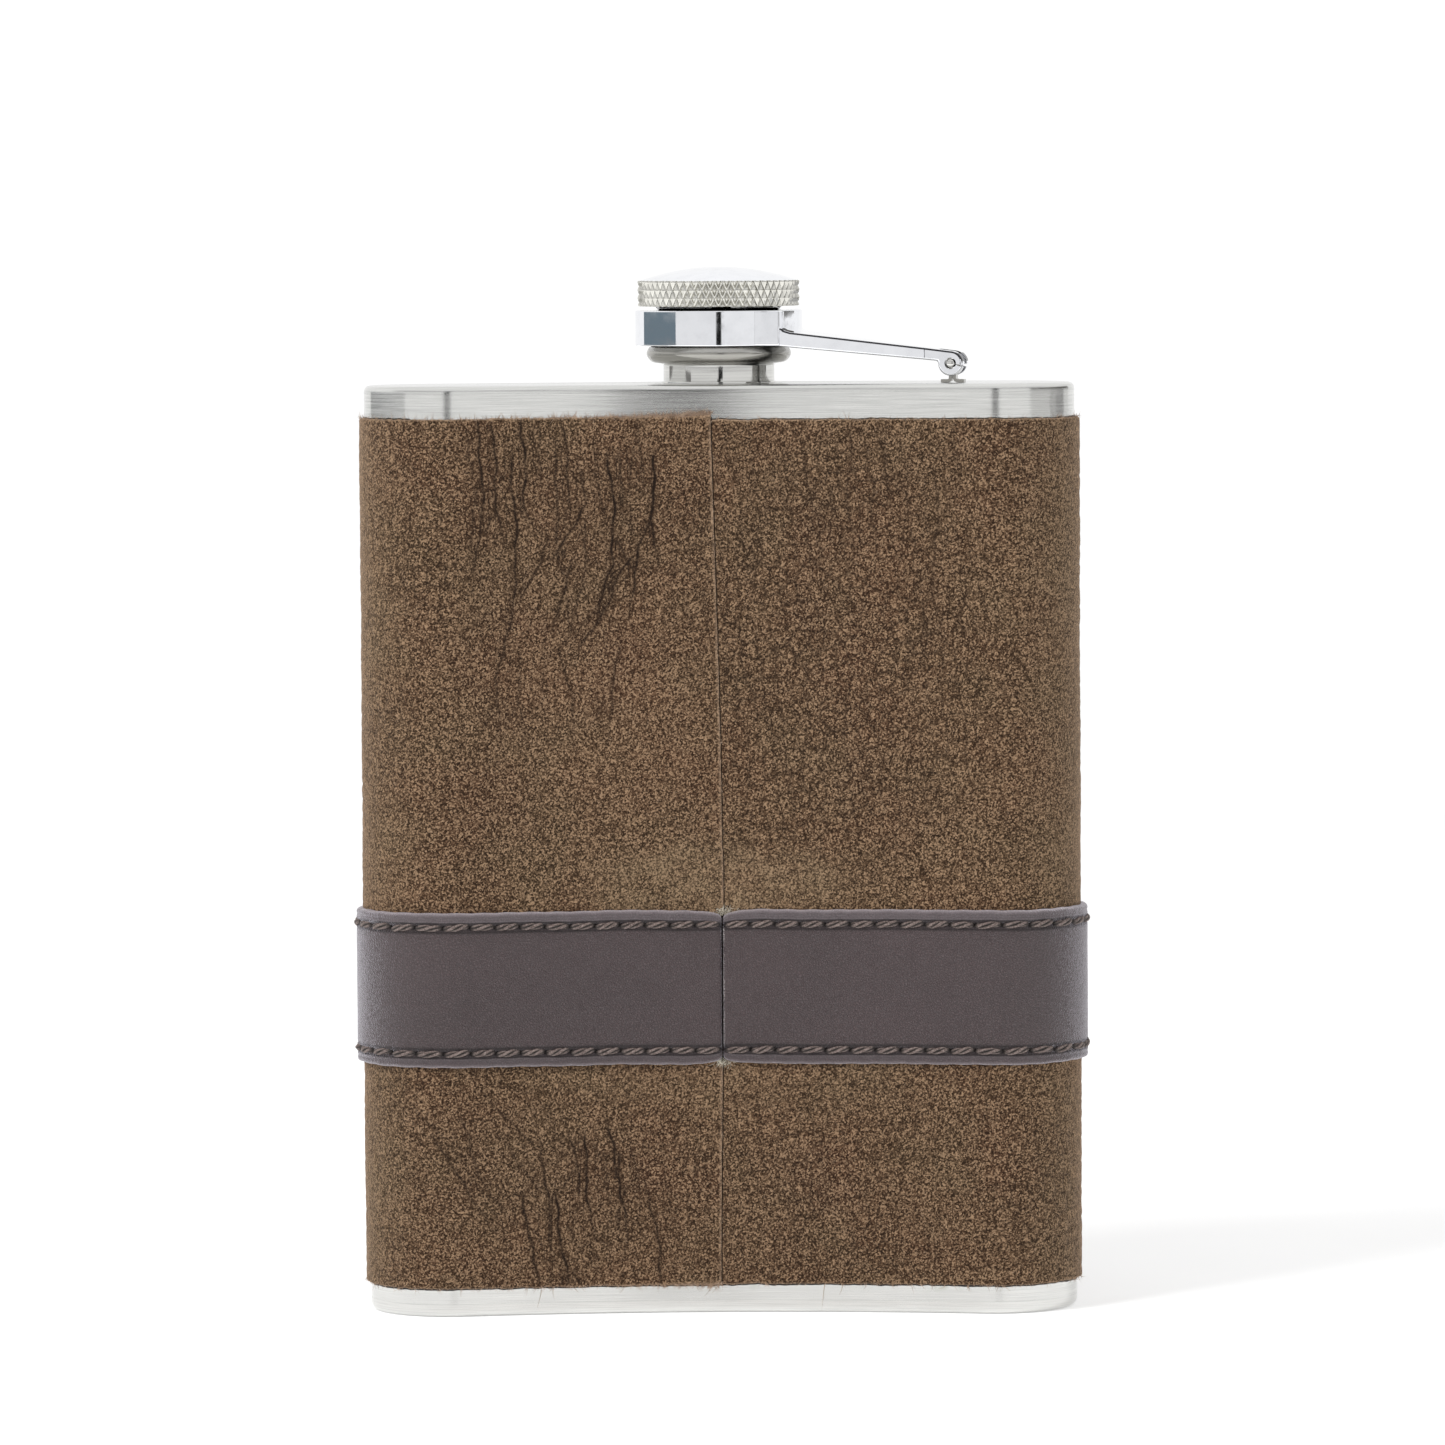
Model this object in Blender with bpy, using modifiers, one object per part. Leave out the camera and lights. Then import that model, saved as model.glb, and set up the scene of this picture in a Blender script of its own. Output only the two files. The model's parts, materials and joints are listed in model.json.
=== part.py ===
"""A leather-wrapped steel hip flask with a captive screw cap, as an assembly of separate pieces.

Metres, +Z up. The origin is the centre of the footprint. The concave back, where the leather's
two ends meet, faces -Y, and the cap's hinge is towards +X.
"""

from math import atan, atan2, cos, degrees, hypot, pi, radians, sin, sqrt, tan

import bmesh
import bpy
from mathutils import Matrix

MM = 0.001
GAP = 0.1 * MM                   # between two pieces that touch on the real flask

# Steel vessel: a kidney outline, two long arcs about one centre, closed by half-round ends
HALF_SPAN = 36.5 * MM            # from the middle to the centre of an end's half round
END_R = 11.0 * MM                # half the thickness of the flask
BACK_R = 185.0 * MM              # the concave back
SHEET = 0.6 * MM
BODY_H = 124.0 * MM
BASE_H = 1.6 * MM
PLATE_T = 1.0 * MM
SHOULDER_ROUND = 0.7 * MM
FOOT_W = 2.4 * MM                # width of the flat rim that the flask stands on
FOOT_ROUND = 1.0 * MM
BASE_RECESS = 0.7 * MM

# Leather
WRAP_T = 0.65 * MM
WRAP_BOTTOM = 3.9 * MM
WRAP_TOP = BODY_H - 4.6 * MM
SEAM_GAP = 0.3 * MM
BAND_T = 0.65 * MM
BAND_BOTTOM = 33.2 * MM
BAND_H = 20.5 * MM
STITCH_INSET = 1.95 * MM         # from the band's edge to the row of stitches
THREAD_R = 0.3 * MM
GROOVE_W = 0.9 * MM
GROOVE_D = 0.45 * MM

# Neck, heights above the top plate
NECK_R = 7.45 * MM
NECK_BORE_R = 6.4 * MM
NECK_BELOW = 6.0 * MM
LIP_R = 9.8 * MM
LIP_BOTTOM = 2.8 * MM
LIP_TOP = 5.0 * MM

# Captive collar, heights above the top plate
COLLAR_R = 11.2 * MM
COLLAR_BOTTOM = LIP_TOP + GAP
COLLAR_TOP = 9.8 * MM
COLLAR_WEB = 0.95 * MM
COLLAR_HOLE_R = 8.35 * MM
COLLAR_CAVITY_R = 9.2 * MM
BLOCK_HALF = 7.9 * MM            # half width of the block that the arm grows from
BLOCK_REACH = 9.6 * MM           # the block's flat end, from the cap's axis

# Arm and hinge
HINGE_X = 31.3 * MM
HINGE_TURN = radians(9.0)        # the arm runs towards the back as it leaves the collar
PIN_H = 2.6 * MM
PIN_R = 0.55 * MM
PIN_BORE_R = 0.63 * MM
KNUCKLE_R = 1.65 * MM
HINGE_W = 6.4 * MM
BRACKET_W = 2.2 * MM
BRACKET_R = 1.4 * MM
BRACKET_STEM = 1.1 * MM
BRACKET_FOOT = 3.4 * MM
BRACKET_FOOT_T = 0.45 * MM
BRACKET_PLAY = 0.15 * MM
ARM_T = 1.5 * MM
ARM_ROOT_T = 1.9 * MM
ARM_ROOT_HALF = 6.9 * MM

# Cap, heights above the top plate
PLUG_R = 5.7 * MM
PLUG_BOTTOM = -3.5 * MM
PLUG_CHAMFER = 0.5 * MM
PLUG_HOLLOW_R = 4.2 * MM
PLUG_HOLLOW_TOP = 7.6 * MM
GASKET_T = 0.8 * MM
GASKET_R = 8.3 * MM
FLANGE_R = 8.75 * MM
FLANGE_T = 1.0 * MM
STEM_R = 7.8 * MM
CONE_LOW_R = 8.1 * MM
CONE_TOP_R = 8.57 * MM
HEAD_BOTTOM = 10.35 * MM
KNURL_H = 3.4 * MM
HEAD_R = 10.85 * MM
HEAD_SHELL = 0.6 * MM
HEAD_CHAMFER = 0.25 * MM
DOME_H = 1.85 * MM

END_SEGMENTS = 14
SIDE_SEGMENTS = 12
TURNED_STEPS = 48

MID_R = BACK_R + END_R
MID_DEPTH = MID_R - sqrt(MID_R**2 - HALF_SPAN**2)
MID_Y = MID_DEPTH / 2            # centres the footprint on the origin
SPREAD = atan2(HALF_SPAN, MID_R - MID_DEPTH)
HINGE_Y = MID_Y - HINGE_X * tan(HINGE_TURN)
ARM_LENGTH = HINGE_X / cos(HINGE_TURN)


# Materials, collections and placing

def new_material(name, colour, roughness, metallic=0.0):
    material = bpy.data.materials.new(name)
    material.use_nodes = True
    shader = material.node_tree.nodes["Principled BSDF"]
    shader.inputs["Base Color"].default_value = (*colour, 1.0)
    shader.inputs["Roughness"].default_value = roughness
    shader.inputs["Metallic"].default_value = metallic
    material.diffuse_color = (*colour, 1.0)
    return material


def new_collection(name):
    collection = bpy.data.collections.new(name)
    bpy.context.scene.collection.children.link(collection)
    return collection


def place(obj, collection, material=None, parent=None, location=(0, 0, 0), turn=0.0):
    collection.objects.link(obj)
    obj.parent = parent
    obj.location = location
    obj.rotation_euler[2] = turn
    if material:
        obj.data.materials.clear()
        obj.data.materials.append(material)
    return obj


def as_cutter(obj):
    obj.hide_render = True
    obj.display_type = "WIRE"
    return obj


def new_empty(name, collection, location, turn=0.0, parent=None):
    empty = bpy.data.objects.new(name, None)
    empty.empty_display_size = 5 * MM
    return place(empty, collection, None, parent, location, turn)


# Outlines

def kidney(offset=0.0):
    """The flask's outline, anticlockwise from the middle of the back, offset outwards."""
    def arc(centre, radius, start, stop, segments):
        turns = [start + (stop - start) * n / segments for n in range(segments)]
        return [(centre[0] + radius * sin(a), centre[1] + radius * cos(a)) for a in turns]

    middle = (0.0, MID_Y - MID_R)
    end = (MID_R * sin(SPREAD), middle[1] + MID_R * cos(SPREAD))
    back, front, round_r = BACK_R - offset, MID_R + END_R + offset, END_R + offset
    half = SIDE_SEGMENTS // 2
    points = arc(middle, back, 0, SPREAD, half)
    points += arc(end, round_r, SPREAD + pi, SPREAD, END_SEGMENTS)
    points += arc(middle, front, SPREAD, -SPREAD, SIDE_SEGMENTS)
    points += arc((-end[0], end[1]), round_r, -SPREAD, -SPREAD - pi, END_SEGMENTS)
    return points + arc(middle, back, -SPREAD, 0, half)


def split_kidney(gap):
    """The same outline, opened by a gap at the middle of the back."""
    points = kidney()
    y = points[0][1]
    return [(gap / 2, y), *points[1:], (-gap / 2, y)]


def polyline(name, loops, closed=True, dimensions="2D"):
    curve = bpy.data.curves.new(name, "CURVE")
    curve.dimensions = dimensions
    for points in loops:
        spline = curve.splines.new("POLY")
        spline.points.add(len(points) - 1)
        for knot, point in zip(spline.points, points):
            knot.co = (*point, *(0.0,) * (4 - len(point)))
            knot.co[3] = 1.0
        spline.use_cyclic_u = closed
    return curve


def circle(radius, centre=(0.0, 0.0), steps=32):
    turns = [2 * pi * n / steps for n in range(steps)]
    return [(centre[0] + radius * cos(a), centre[1] + radius * sin(a)) for a in turns]


# Solids

def flat(name, loops, low, high):
    """A flat piece between two heights. A loop inside another is a hole."""
    curve = polyline(name, loops)
    curve.fill_mode = "BOTH"
    curve.extrude = (high - low) / 2
    obj = bpy.data.objects.new(name, curve)
    obj.location.z = (high + low) / 2
    return obj


def to_mesh(obj):
    """The curve object's shape as a mesh object of the same name, with its caps welded."""
    bpy.context.scene.collection.objects.link(obj)
    bpy.context.view_layer.update()
    evaluated = obj.evaluated_get(bpy.context.evaluated_depsgraph_get())
    mesh = bpy.data.meshes.new_from_object(evaluated)
    name, matrix = obj.name, obj.matrix_world.copy()
    bpy.data.objects.remove(obj)
    mesh.transform(matrix)
    cage = bmesh.new()
    cage.from_mesh(mesh)
    bmesh.ops.remove_doubles(cage, verts=cage.verts, dist=0.00001)
    bmesh.ops.dissolve_limit(cage, angle_limit=radians(0.5), verts=cage.verts, edges=cage.edges)
    bmesh.ops.recalc_face_normals(cage, faces=cage.faces)
    cage.to_mesh(mesh)
    cage.free()
    mesh.name = name
    return bpy.data.objects.new(name, mesh)


def swept(name, section, path, closed):
    """A section, as points (outwards, up), swept along the flask's outline."""
    # Blender runs every closed 2D curve clockwise, and leaves an open one as it is drawn.
    rail = polyline(name, [path if closed else path[::-1]], closed)
    profile = polyline(name + "_section", [[(-out, up) for out, up in section]])
    guide = bpy.data.objects.new(name + "_section", profile)
    bpy.context.scene.collection.objects.link(guide)
    rail.bevel_mode = "OBJECT"
    rail.bevel_object = guide
    rail.use_fill_caps = not closed
    obj = to_mesh(bpy.data.objects.new(name, rail))
    bpy.data.objects.remove(guide)
    return obj


def turned(name, profile, steps=TURNED_STEPS, closed=True):
    """A profile of (radius, height) turned about Z. A closed one leaves a hole in the middle."""
    mesh = bpy.data.meshes.new(name)
    count = len(profile)
    edges = [(n, (n + 1) % count) for n in range(count if closed else count - 1)]
    mesh.from_pydata([(r, 0.0, z) for r, z in profile], edges, [])
    obj = bpy.data.objects.new(name, mesh)
    screw = obj.modifiers.new("turn", "SCREW")
    screw.steps = screw.render_steps = steps
    screw.use_merge_vertices = True
    screw.merge_threshold = 0.00001
    return obj


def box(name, low, high):
    mesh = bpy.data.meshes.new(name)
    cage = bmesh.new()
    bmesh.ops.create_cube(cage, size=1.0)
    size = [b - a for a, b in zip(low, high)]
    middle = [(a + b) / 2 for a, b in zip(low, high)]
    bmesh.ops.scale(cage, vec=size, verts=cage.verts)
    bmesh.ops.translate(cage, vec=middle, verts=cage.verts)
    cage.to_mesh(mesh)
    cage.free()
    return bpy.data.objects.new(name, mesh)


def boolean(obj, other, operation):
    modifier = obj.modifiers.new(other.name, "BOOLEAN")
    modifier.operation = operation
    modifier.object = other
    modifier.solver = "EXACT"


# The pieces of the vessel

def make_body_shell():
    low, high = BASE_H + GAP, BODY_H - PLATE_T - GAP
    return swept("body_shell", [(-SHEET, low), (0, low), (0, high), (-SHEET, high)], kidney(), True)


def round_rim(cage, height, radius):
    """Rounds the plate's outer edge at this height. Its side faces are the ones that face out."""
    def outside(face):
        middle = face.calc_center_median()
        return abs(face.normal.z) < 0.5 and abs(middle.x) + abs(middle.y) > 1.3 * NECK_R

    rim = [edge for edge in cage.edges
           if all(abs(vert.co.z - height) < 0.01 * MM for vert in edge.verts)
           and any(outside(face) for face in edge.link_faces)]
    bmesh.ops.bevel(cage, geom=rim, offset=radius, segments=3, profile=0.5, affect="EDGES")


def make_base_plate():
    """A pressed pan with a rounded edge, dished inside the rim that it stands on."""
    pan = to_mesh(flat("base_plate", [kidney()], 0, BASE_H))
    cage = bmesh.new()
    cage.from_mesh(pan.data)
    round_rim(cage, 0.0, FOOT_ROUND)
    bottom = min(cage.faces, key=lambda face: face.calc_center_median().z)
    for inset, rise in ((FOOT_W, 0.0), (BASE_RECESS, BASE_RECESS)):
        bmesh.ops.inset_region(cage, faces=[bottom], thickness=inset, use_even_offset=True)
        bmesh.ops.translate(cage, vec=(0, 0, rise), verts=bottom.verts)
    cage.to_mesh(pan.data)
    cage.free()
    return pan


def make_top_plate():
    """A flat plate with a rounded edge and a hole for the neck."""
    hole = circle(NECK_R - 0.3 * MM, (0, MID_Y), TURNED_STEPS)
    plate = to_mesh(flat("top_plate", [kidney(), hole], BODY_H - PLATE_T, BODY_H))
    cage = bmesh.new()
    cage.from_mesh(plate.data)
    round_rim(cage, BODY_H, SHOULDER_ROUND)
    cage.to_mesh(plate.data)
    cage.free()
    return plate


def make_neck():
    """The spout: a tube through the top plate, with a rounded lip that the gasket seals on."""
    tube_r, bead = NECK_R - 0.3 * MM - GAP, (LIP_TOP - LIP_BOTTOM) / 2
    outer = [(LIP_R - bead * (1 - cos(a)), LIP_TOP - bead + bead * sin(a))
             for a in (pi / 3, pi / 6, 0, -pi / 6, -pi / 3)]
    profile = [(NECK_BORE_R, LIP_TOP), (LIP_R - bead, LIP_TOP), *outer, (NECK_R, LIP_BOTTOM),
               (NECK_R, GAP), (tube_r, GAP), (tube_r, -NECK_BELOW), (NECK_BORE_R, -NECK_BELOW)]
    return turned("neck", profile)


# The leather

def make_leather_wrap():
    inner, outer = GAP, GAP + WRAP_T
    section = [(inner, WRAP_BOTTOM), (outer, WRAP_BOTTOM), (outer, WRAP_TOP), (inner, WRAP_TOP)]
    return swept("leather_wrap", section, split_kidney(SEAM_GAP), False)


def stitch_heights():
    return BAND_BOTTOM + STITCH_INSET, BAND_BOTTOM + BAND_H - STITCH_INSET


def make_leather_band():
    """The band's outer face has a groove along each edge, where the stitches pull it down."""
    inner = WRAP_T + 2 * GAP
    outer, top = inner + BAND_T, BAND_BOTTOM + BAND_H
    section = [(inner, BAND_BOTTOM), (outer, BAND_BOTTOM)]
    for height in stitch_heights():
        section += [(outer, height - GROOVE_W / 2), (outer - GROOVE_D, height - GROOVE_W / 4),
                    (outer - GROOVE_D, height + GROOVE_W / 4), (outer, height + GROOVE_W / 2)]
    section += [(outer, top), (inner, top)]
    return swept("leather_band", section, split_kidney(SEAM_GAP), False)


def make_stitching(name, height):
    """One row's thread, which lies in the band's groove all the way round."""
    out = WRAP_T + 2 * GAP + BAND_T - GROOVE_D + THREAD_R + GAP
    points = kidney(out)
    points = [(SEAM_GAP / 2, points[0][1]), *points[1:], (-SEAM_GAP / 2, points[0][1])]
    curve = polyline(name, [[(x, y, height) for x, y in points]], False, "3D")
    curve.bevel_depth = THREAD_R
    curve.bevel_resolution = 1
    curve.use_fill_caps = True
    return bpy.data.objects.new(name, curve)


# The hinge and the collar, in the hinge's own axes: X along the arm, Y along the pin

def make_hinge_bracket():
    """A strip folded round the pin, its two legs meeting below and spread out as feet."""
    foot_top = -PIN_H + GAP + BRACKET_FOOT_T
    stem, foot = BRACKET_STEM / 2, BRACKET_FOOT / 2
    start = -pi / 2 + atan(stem / BRACKET_R)
    turns = [start + (2 * pi - 2 * (start + pi / 2)) * n / 24 for n in range(25)]
    loop = [(BRACKET_R * cos(a), BRACKET_R * sin(a)) for a in turns]
    foot_low = -PIN_H + GAP
    outline = [*loop, (-stem, foot_top), (-foot, foot_top), (-foot, foot_low),
               (foot, foot_low), (foot, foot_top), (stem, foot_top)]
    return upright("hinge_bracket", [outline, circle(PIN_BORE_R, steps=16)], BRACKET_W)


def upright(name, loops, width):
    """A flat piece in the hinge's XZ plane, centred on the middle of the pin."""
    obj = flat(name, loops, -width / 2, width / 2)
    obj.rotation_euler[0] = pi / 2
    return to_mesh(obj)


def make_hinge_pin():
    mesh = bpy.data.meshes.new("hinge_pin")
    cage = bmesh.new()
    bmesh.ops.create_cone(cage, cap_ends=True, segments=16, radius1=PIN_R, radius2=PIN_R,
                          depth=HINGE_W + 0.2 * MM)
    cage.to_mesh(mesh)
    cage.free()
    pin = bpy.data.objects.new("hinge_pin", mesh)
    mesh.transform(Matrix.Rotation(pi / 2, 4, "X"))
    return pin


def arm_profile():
    """The arm from the side: a straight bar whose top runs on round the knuckle."""
    root_x, root_low = -ARM_LENGTH + BLOCK_REACH - 1.0 * MM, COLLAR_BOTTOM - PIN_H
    root_top = root_low + ARM_ROOT_T
    reach = hypot(root_x, root_top)
    slope = atan2(root_top, -root_x) - atan2(KNUCKLE_R, sqrt(reach**2 - KNUCKLE_R**2))
    turns = [pi / 2 - slope - n * (1.5 * pi) / 18 for n in range(19)]
    knuckle = [(KNUCKLE_R * cos(a), KNUCKLE_R * sin(a)) for a in turns]
    under = (KNUCKLE_R - ARM_T) / cos(slope)
    heel = (-sqrt(KNUCKLE_R**2 - under**2), under + KNUCKLE_R * tan(slope))
    return [(root_x, root_top), *knuckle, heel, (root_x, root_low)]


def arm_plan():
    """The arm from above: wide where it leaves the collar, as wide as the hinge at its end."""
    root, hinge = -ARM_LENGTH + BLOCK_REACH - 1.2 * MM, -2 * KNUCKLE_R
    tip, half = KNUCKLE_R + 1 * MM, HINGE_W / 2
    return [(root, -ARM_ROOT_HALF), (hinge, -half), (tip, -half),
            (tip, half), (hinge, half), (root, ARM_ROOT_HALF)]


def make_collar(cutters, frame):
    """The loose ring that holds the cap, cast in one with its block, arm and hinge knuckles."""
    low, high = COLLAR_BOTTOM - PIN_H, COLLAR_TOP - PIN_H
    axis = (-ARM_LENGTH, 0.0)
    collar = to_mesh(flat("captive_collar", [circle(COLLAR_R, axis, TURNED_STEPS)], low, high))
    block = box("collar_block", (-ARM_LENGTH, -BLOCK_HALF, low),
                (-ARM_LENGTH + BLOCK_REACH, BLOCK_HALF, high))
    arm = upright("collar_arm", [arm_profile()], 4 * ARM_ROOT_HALF)
    plan = to_mesh(flat("collar_arm_plan", [arm_plan()], low - COLLAR_TOP, high + COLLAR_TOP))
    hollow = turned("collar_hollow", [
        (0, high + 1 * MM), (COLLAR_HOLE_R, high + 1 * MM), (COLLAR_HOLE_R, high - COLLAR_WEB),
        (COLLAR_CAVITY_R, high - COLLAR_WEB), (COLLAR_CAVITY_R, low - 1 * MM), (0, low - 1 * MM),
    ], closed=False)
    notch_half = BRACKET_W / 2 + BRACKET_PLAY
    notch = box("collar_notch", (-KNUCKLE_R - BRACKET_PLAY, -notch_half, -3 * KNUCKLE_R),
                (3 * KNUCKLE_R, notch_half, 3 * KNUCKLE_R))
    bore = upright("collar_bore", [circle(PIN_BORE_R, steps=16)], 2 * HINGE_W)
    place(hollow, cutters, None, frame, (*axis, 0))
    for cutter in (block, arm, plan, notch, bore):
        place(cutter, cutters, None, frame)
    for cutter in (block, arm, plan, hollow, notch, bore):
        as_cutter(cutter)
    boolean(arm, plan, "INTERSECT")
    boolean(collar, block, "UNION")
    boolean(collar, arm, "UNION")
    boolean(collar, hollow, "DIFFERENCE")
    boolean(collar, notch, "DIFFERENCE")
    boolean(collar, bore, "DIFFERENCE")
    return collar


# The cap, its origin on its own axis at the height of the top plate

def make_cap_core():
    """The threaded plug, its sealing flange, and the stem and disc that fill the head."""
    flange_low = LIP_TOP + GASKET_T + 2 * GAP
    disc_r, disc_top = HEAD_R - HEAD_SHELL - GAP, HEAD_BOTTOM + KNURL_H - HEAD_SHELL
    return turned("cap_core", [
        (0, disc_top), (disc_r, disc_top), (disc_r, HEAD_BOTTOM + GAP),
        (CONE_TOP_R, HEAD_BOTTOM + GAP), (CONE_TOP_R, HEAD_BOTTOM), (CONE_LOW_R, COLLAR_TOP),
        (STEM_R, COLLAR_TOP - COLLAR_WEB), (STEM_R, flange_low + FLANGE_T + 0.2 * MM),
        (FLANGE_R, flange_low + FLANGE_T), (FLANGE_R, flange_low), (PLUG_R, flange_low),
        (PLUG_R, PLUG_BOTTOM + PLUG_CHAMFER), (PLUG_R - PLUG_CHAMFER, PLUG_BOTTOM),
        (PLUG_HOLLOW_R, PLUG_BOTTOM), (PLUG_HOLLOW_R, PLUG_HOLLOW_TOP), (0, PLUG_HOLLOW_TOP),
    ], closed=False)


def make_cap_head():
    """A pressed steel shell: knurled side and domed top."""
    top = HEAD_BOTTOM + KNURL_H
    rim_r, inner_r = HEAD_R - HEAD_CHAMFER, HEAD_R - HEAD_SHELL
    dome_r = (rim_r**2 + DOME_H**2) / (2 * DOME_H)
    spans = [n / 6 for n in range(7)]
    dome = [(rim_r * s, top + DOME_H - dome_r + sqrt(dome_r**2 - (rim_r * s) ** 2)) for s in spans]
    return turned("cap_head", [
        *dome, (HEAD_R, top - HEAD_CHAMFER), (HEAD_R, HEAD_BOTTOM + HEAD_CHAMFER),
        (rim_r, HEAD_BOTTOM), (inner_r, HEAD_BOTTOM), (inner_r, top - HEAD_SHELL + GAP),
        (0, top - HEAD_SHELL + GAP),
    ], closed=False)


def make_cap_gasket():
    low, inner = LIP_TOP + GAP, PLUG_R + GAP
    high = low + GASKET_T
    return turned("cap_gasket", [(inner, high), (GASKET_R, high), (GASKET_R, low), (inner, low)])


def main():
    for obj in list(bpy.data.objects):
        bpy.data.objects.remove(obj)
    parts, cutters = new_collection("hip_flask"), new_collection("cutters")
    steel = new_material("brushed_steel", (0.62, 0.62, 0.60), 0.32, 1.0)
    polished = new_material("polished_steel", (0.70, 0.69, 0.66), 0.18, 1.0)
    chrome = new_material("chrome", (0.80, 0.80, 0.82), 0.05, 1.0)
    nubuck = new_material("nubuck", (0.145, 0.088, 0.052), 0.90)
    smooth = new_material("smooth_leather", (0.105, 0.081, 0.082), 0.50)
    thread = new_material("thread", (0.060, 0.042, 0.036), 0.80)
    silicone = new_material("silicone", (0.80, 0.80, 0.78), 0.45)

    for obj in (make_body_shell(), make_base_plate(), make_top_plate()):
        place(obj, parts, steel)
    place(make_neck(), parts, polished, location=(0, MID_Y, BODY_H))
    place(make_leather_wrap(), parts, nubuck)
    place(make_leather_band(), parts, smooth)
    for name, height in zip(("stitching_lower", "stitching_upper"), stitch_heights()):
        place(make_stitching(name, height), parts, thread)

    hinge = new_empty("hinge_axis", parts, (HINGE_X, HINGE_Y, BODY_H + PIN_H), -HINGE_TURN)
    place(make_hinge_bracket(), parts, chrome, hinge)
    place(make_hinge_pin(), parts, chrome, hinge)
    place(make_collar(cutters, hinge), parts, chrome, hinge)

    cap = new_empty("cap_axis", parts, (-ARM_LENGTH, 0, -PIN_H), parent=hinge)
    place(make_cap_core(), parts, polished, cap)
    place(make_cap_head(), parts, polished, cap)
    place(make_cap_gasket(), parts, silicone, cap)


main()
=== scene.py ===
"""How the leather-wrapped hip flask looks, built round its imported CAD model.

Metres, +Z up. The concave back, with the leather's seam, faces -Y, and the hinge is towards +X.
"""

import json
from contextlib import contextmanager
from math import asin, atan2, cos, hypot, pi, radians, sin, sqrt, tan

import bmesh
import bpy
import numpy as np
from mathutils import Matrix, Vector


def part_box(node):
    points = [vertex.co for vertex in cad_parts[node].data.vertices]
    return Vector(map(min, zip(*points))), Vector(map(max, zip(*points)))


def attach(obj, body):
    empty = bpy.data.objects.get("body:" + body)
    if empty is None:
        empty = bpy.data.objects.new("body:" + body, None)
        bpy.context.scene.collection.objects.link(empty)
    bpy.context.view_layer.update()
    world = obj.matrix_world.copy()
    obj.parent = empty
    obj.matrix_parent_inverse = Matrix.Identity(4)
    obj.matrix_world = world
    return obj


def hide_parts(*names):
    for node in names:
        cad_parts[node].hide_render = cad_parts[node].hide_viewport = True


MM = 0.001

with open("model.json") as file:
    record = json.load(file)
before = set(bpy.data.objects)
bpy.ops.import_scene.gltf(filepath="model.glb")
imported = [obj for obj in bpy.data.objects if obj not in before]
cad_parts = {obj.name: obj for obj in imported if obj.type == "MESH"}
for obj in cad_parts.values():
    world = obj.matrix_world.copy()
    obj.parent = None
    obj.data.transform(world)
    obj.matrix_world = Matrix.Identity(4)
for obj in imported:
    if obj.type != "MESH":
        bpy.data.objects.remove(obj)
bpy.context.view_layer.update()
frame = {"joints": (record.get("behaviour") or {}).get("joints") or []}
JOINTS = {joint["name"]: joint for joint in frame["joints"]}

# The steel's plan: two long arcs about one centre, closed by half-round ends
END_R = 11 * MM
BACK_R = 185 * MM
MID_R = BACK_R + END_R
HALF_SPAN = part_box("body_shell")[1].x - END_R
SPREAD = asin(HALF_SPAN / MID_R)
MID_Y = MID_R * (1 - cos(SPREAD)) / 2
CENTRE_Y = MID_Y - MID_R
END_X, END_Y = HALF_SPAN, CENTRE_Y + MID_R * cos(SPREAD)
# Each leg: length, centre, radius, angle from +Y at its start, way it turns, way it faces
LEGS = [
    (BACK_R * SPREAD, (0, CENTRE_Y), BACK_R, 0, 1, -1),
    (END_R * pi, (END_X, END_Y), END_R, SPREAD + pi, -1, 1),
    ((MID_R + END_R) * 2 * SPREAD, (0, CENTRE_Y), MID_R + END_R, SPREAD, -1, 1),
    (END_R * pi, (-END_X, END_Y), END_R, -SPREAD, -1, 1),
    (BACK_R * SPREAD, (0, CENTRE_Y), BACK_R, -SPREAD, 1, -1),
]
GIRTH = sum(leg[0] for leg in LEGS)

SHOULDER_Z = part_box("top_plate")[1].z
BAND_LOW, BAND_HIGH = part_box("leather_band")[0].z + 0.25 * MM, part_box("leather_band")[1].z + 0.45 * MM
BAND_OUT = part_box("leather_band")[1].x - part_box("body_shell")[1].x
WRAP_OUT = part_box("leather_wrap")[1].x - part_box("body_shell")[1].x

CAP_AXIS = Vector(JOINTS["cap_spin"]["pos_m"])
PIN_CENTRE = Vector(JOINTS["collar_swing"]["pos_m"])
PIN_AXIS = Vector(JOINTS["collar_swing"]["axis"])
ARM_TURN = atan2(PIN_AXIS.x, PIN_AXIS.y)
ARM_LENGTH = PIN_CENTRE.x / cos(ARM_TURN)
HINGE = Matrix.Translation(PIN_CENTRE) @ Matrix.Rotation(-ARM_TURN, 4, "Z")


# Numbers

def outline(s, out=0.0):
    """The points at distances s along the steel's plan, counted from the middle of the back
    towards +X, moved out by out."""
    s = np.mod(s, GIRTH)
    points = np.zeros(s.shape + (2,))
    start = 0.0
    for length, centre, radius, angle, turning, facing in LEGS:
        here = (s >= start) & (s <= start + length)
        turn = angle + turning * (s - start) / radius
        reach = radius + facing * out
        leg = np.stack([centre[0] + reach * np.sin(turn), centre[1] + reach * np.cos(turn)], -1)
        points[here] = leg[here]
        start += length
    return points


def on_flask(s, z, out):
    """The points at distance s round the flask, at height z, standing out from the steel."""
    s, z, out = np.broadcast_arrays(s, z, out)
    return np.concatenate([outline(s, out), z[..., None]], -1)


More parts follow.
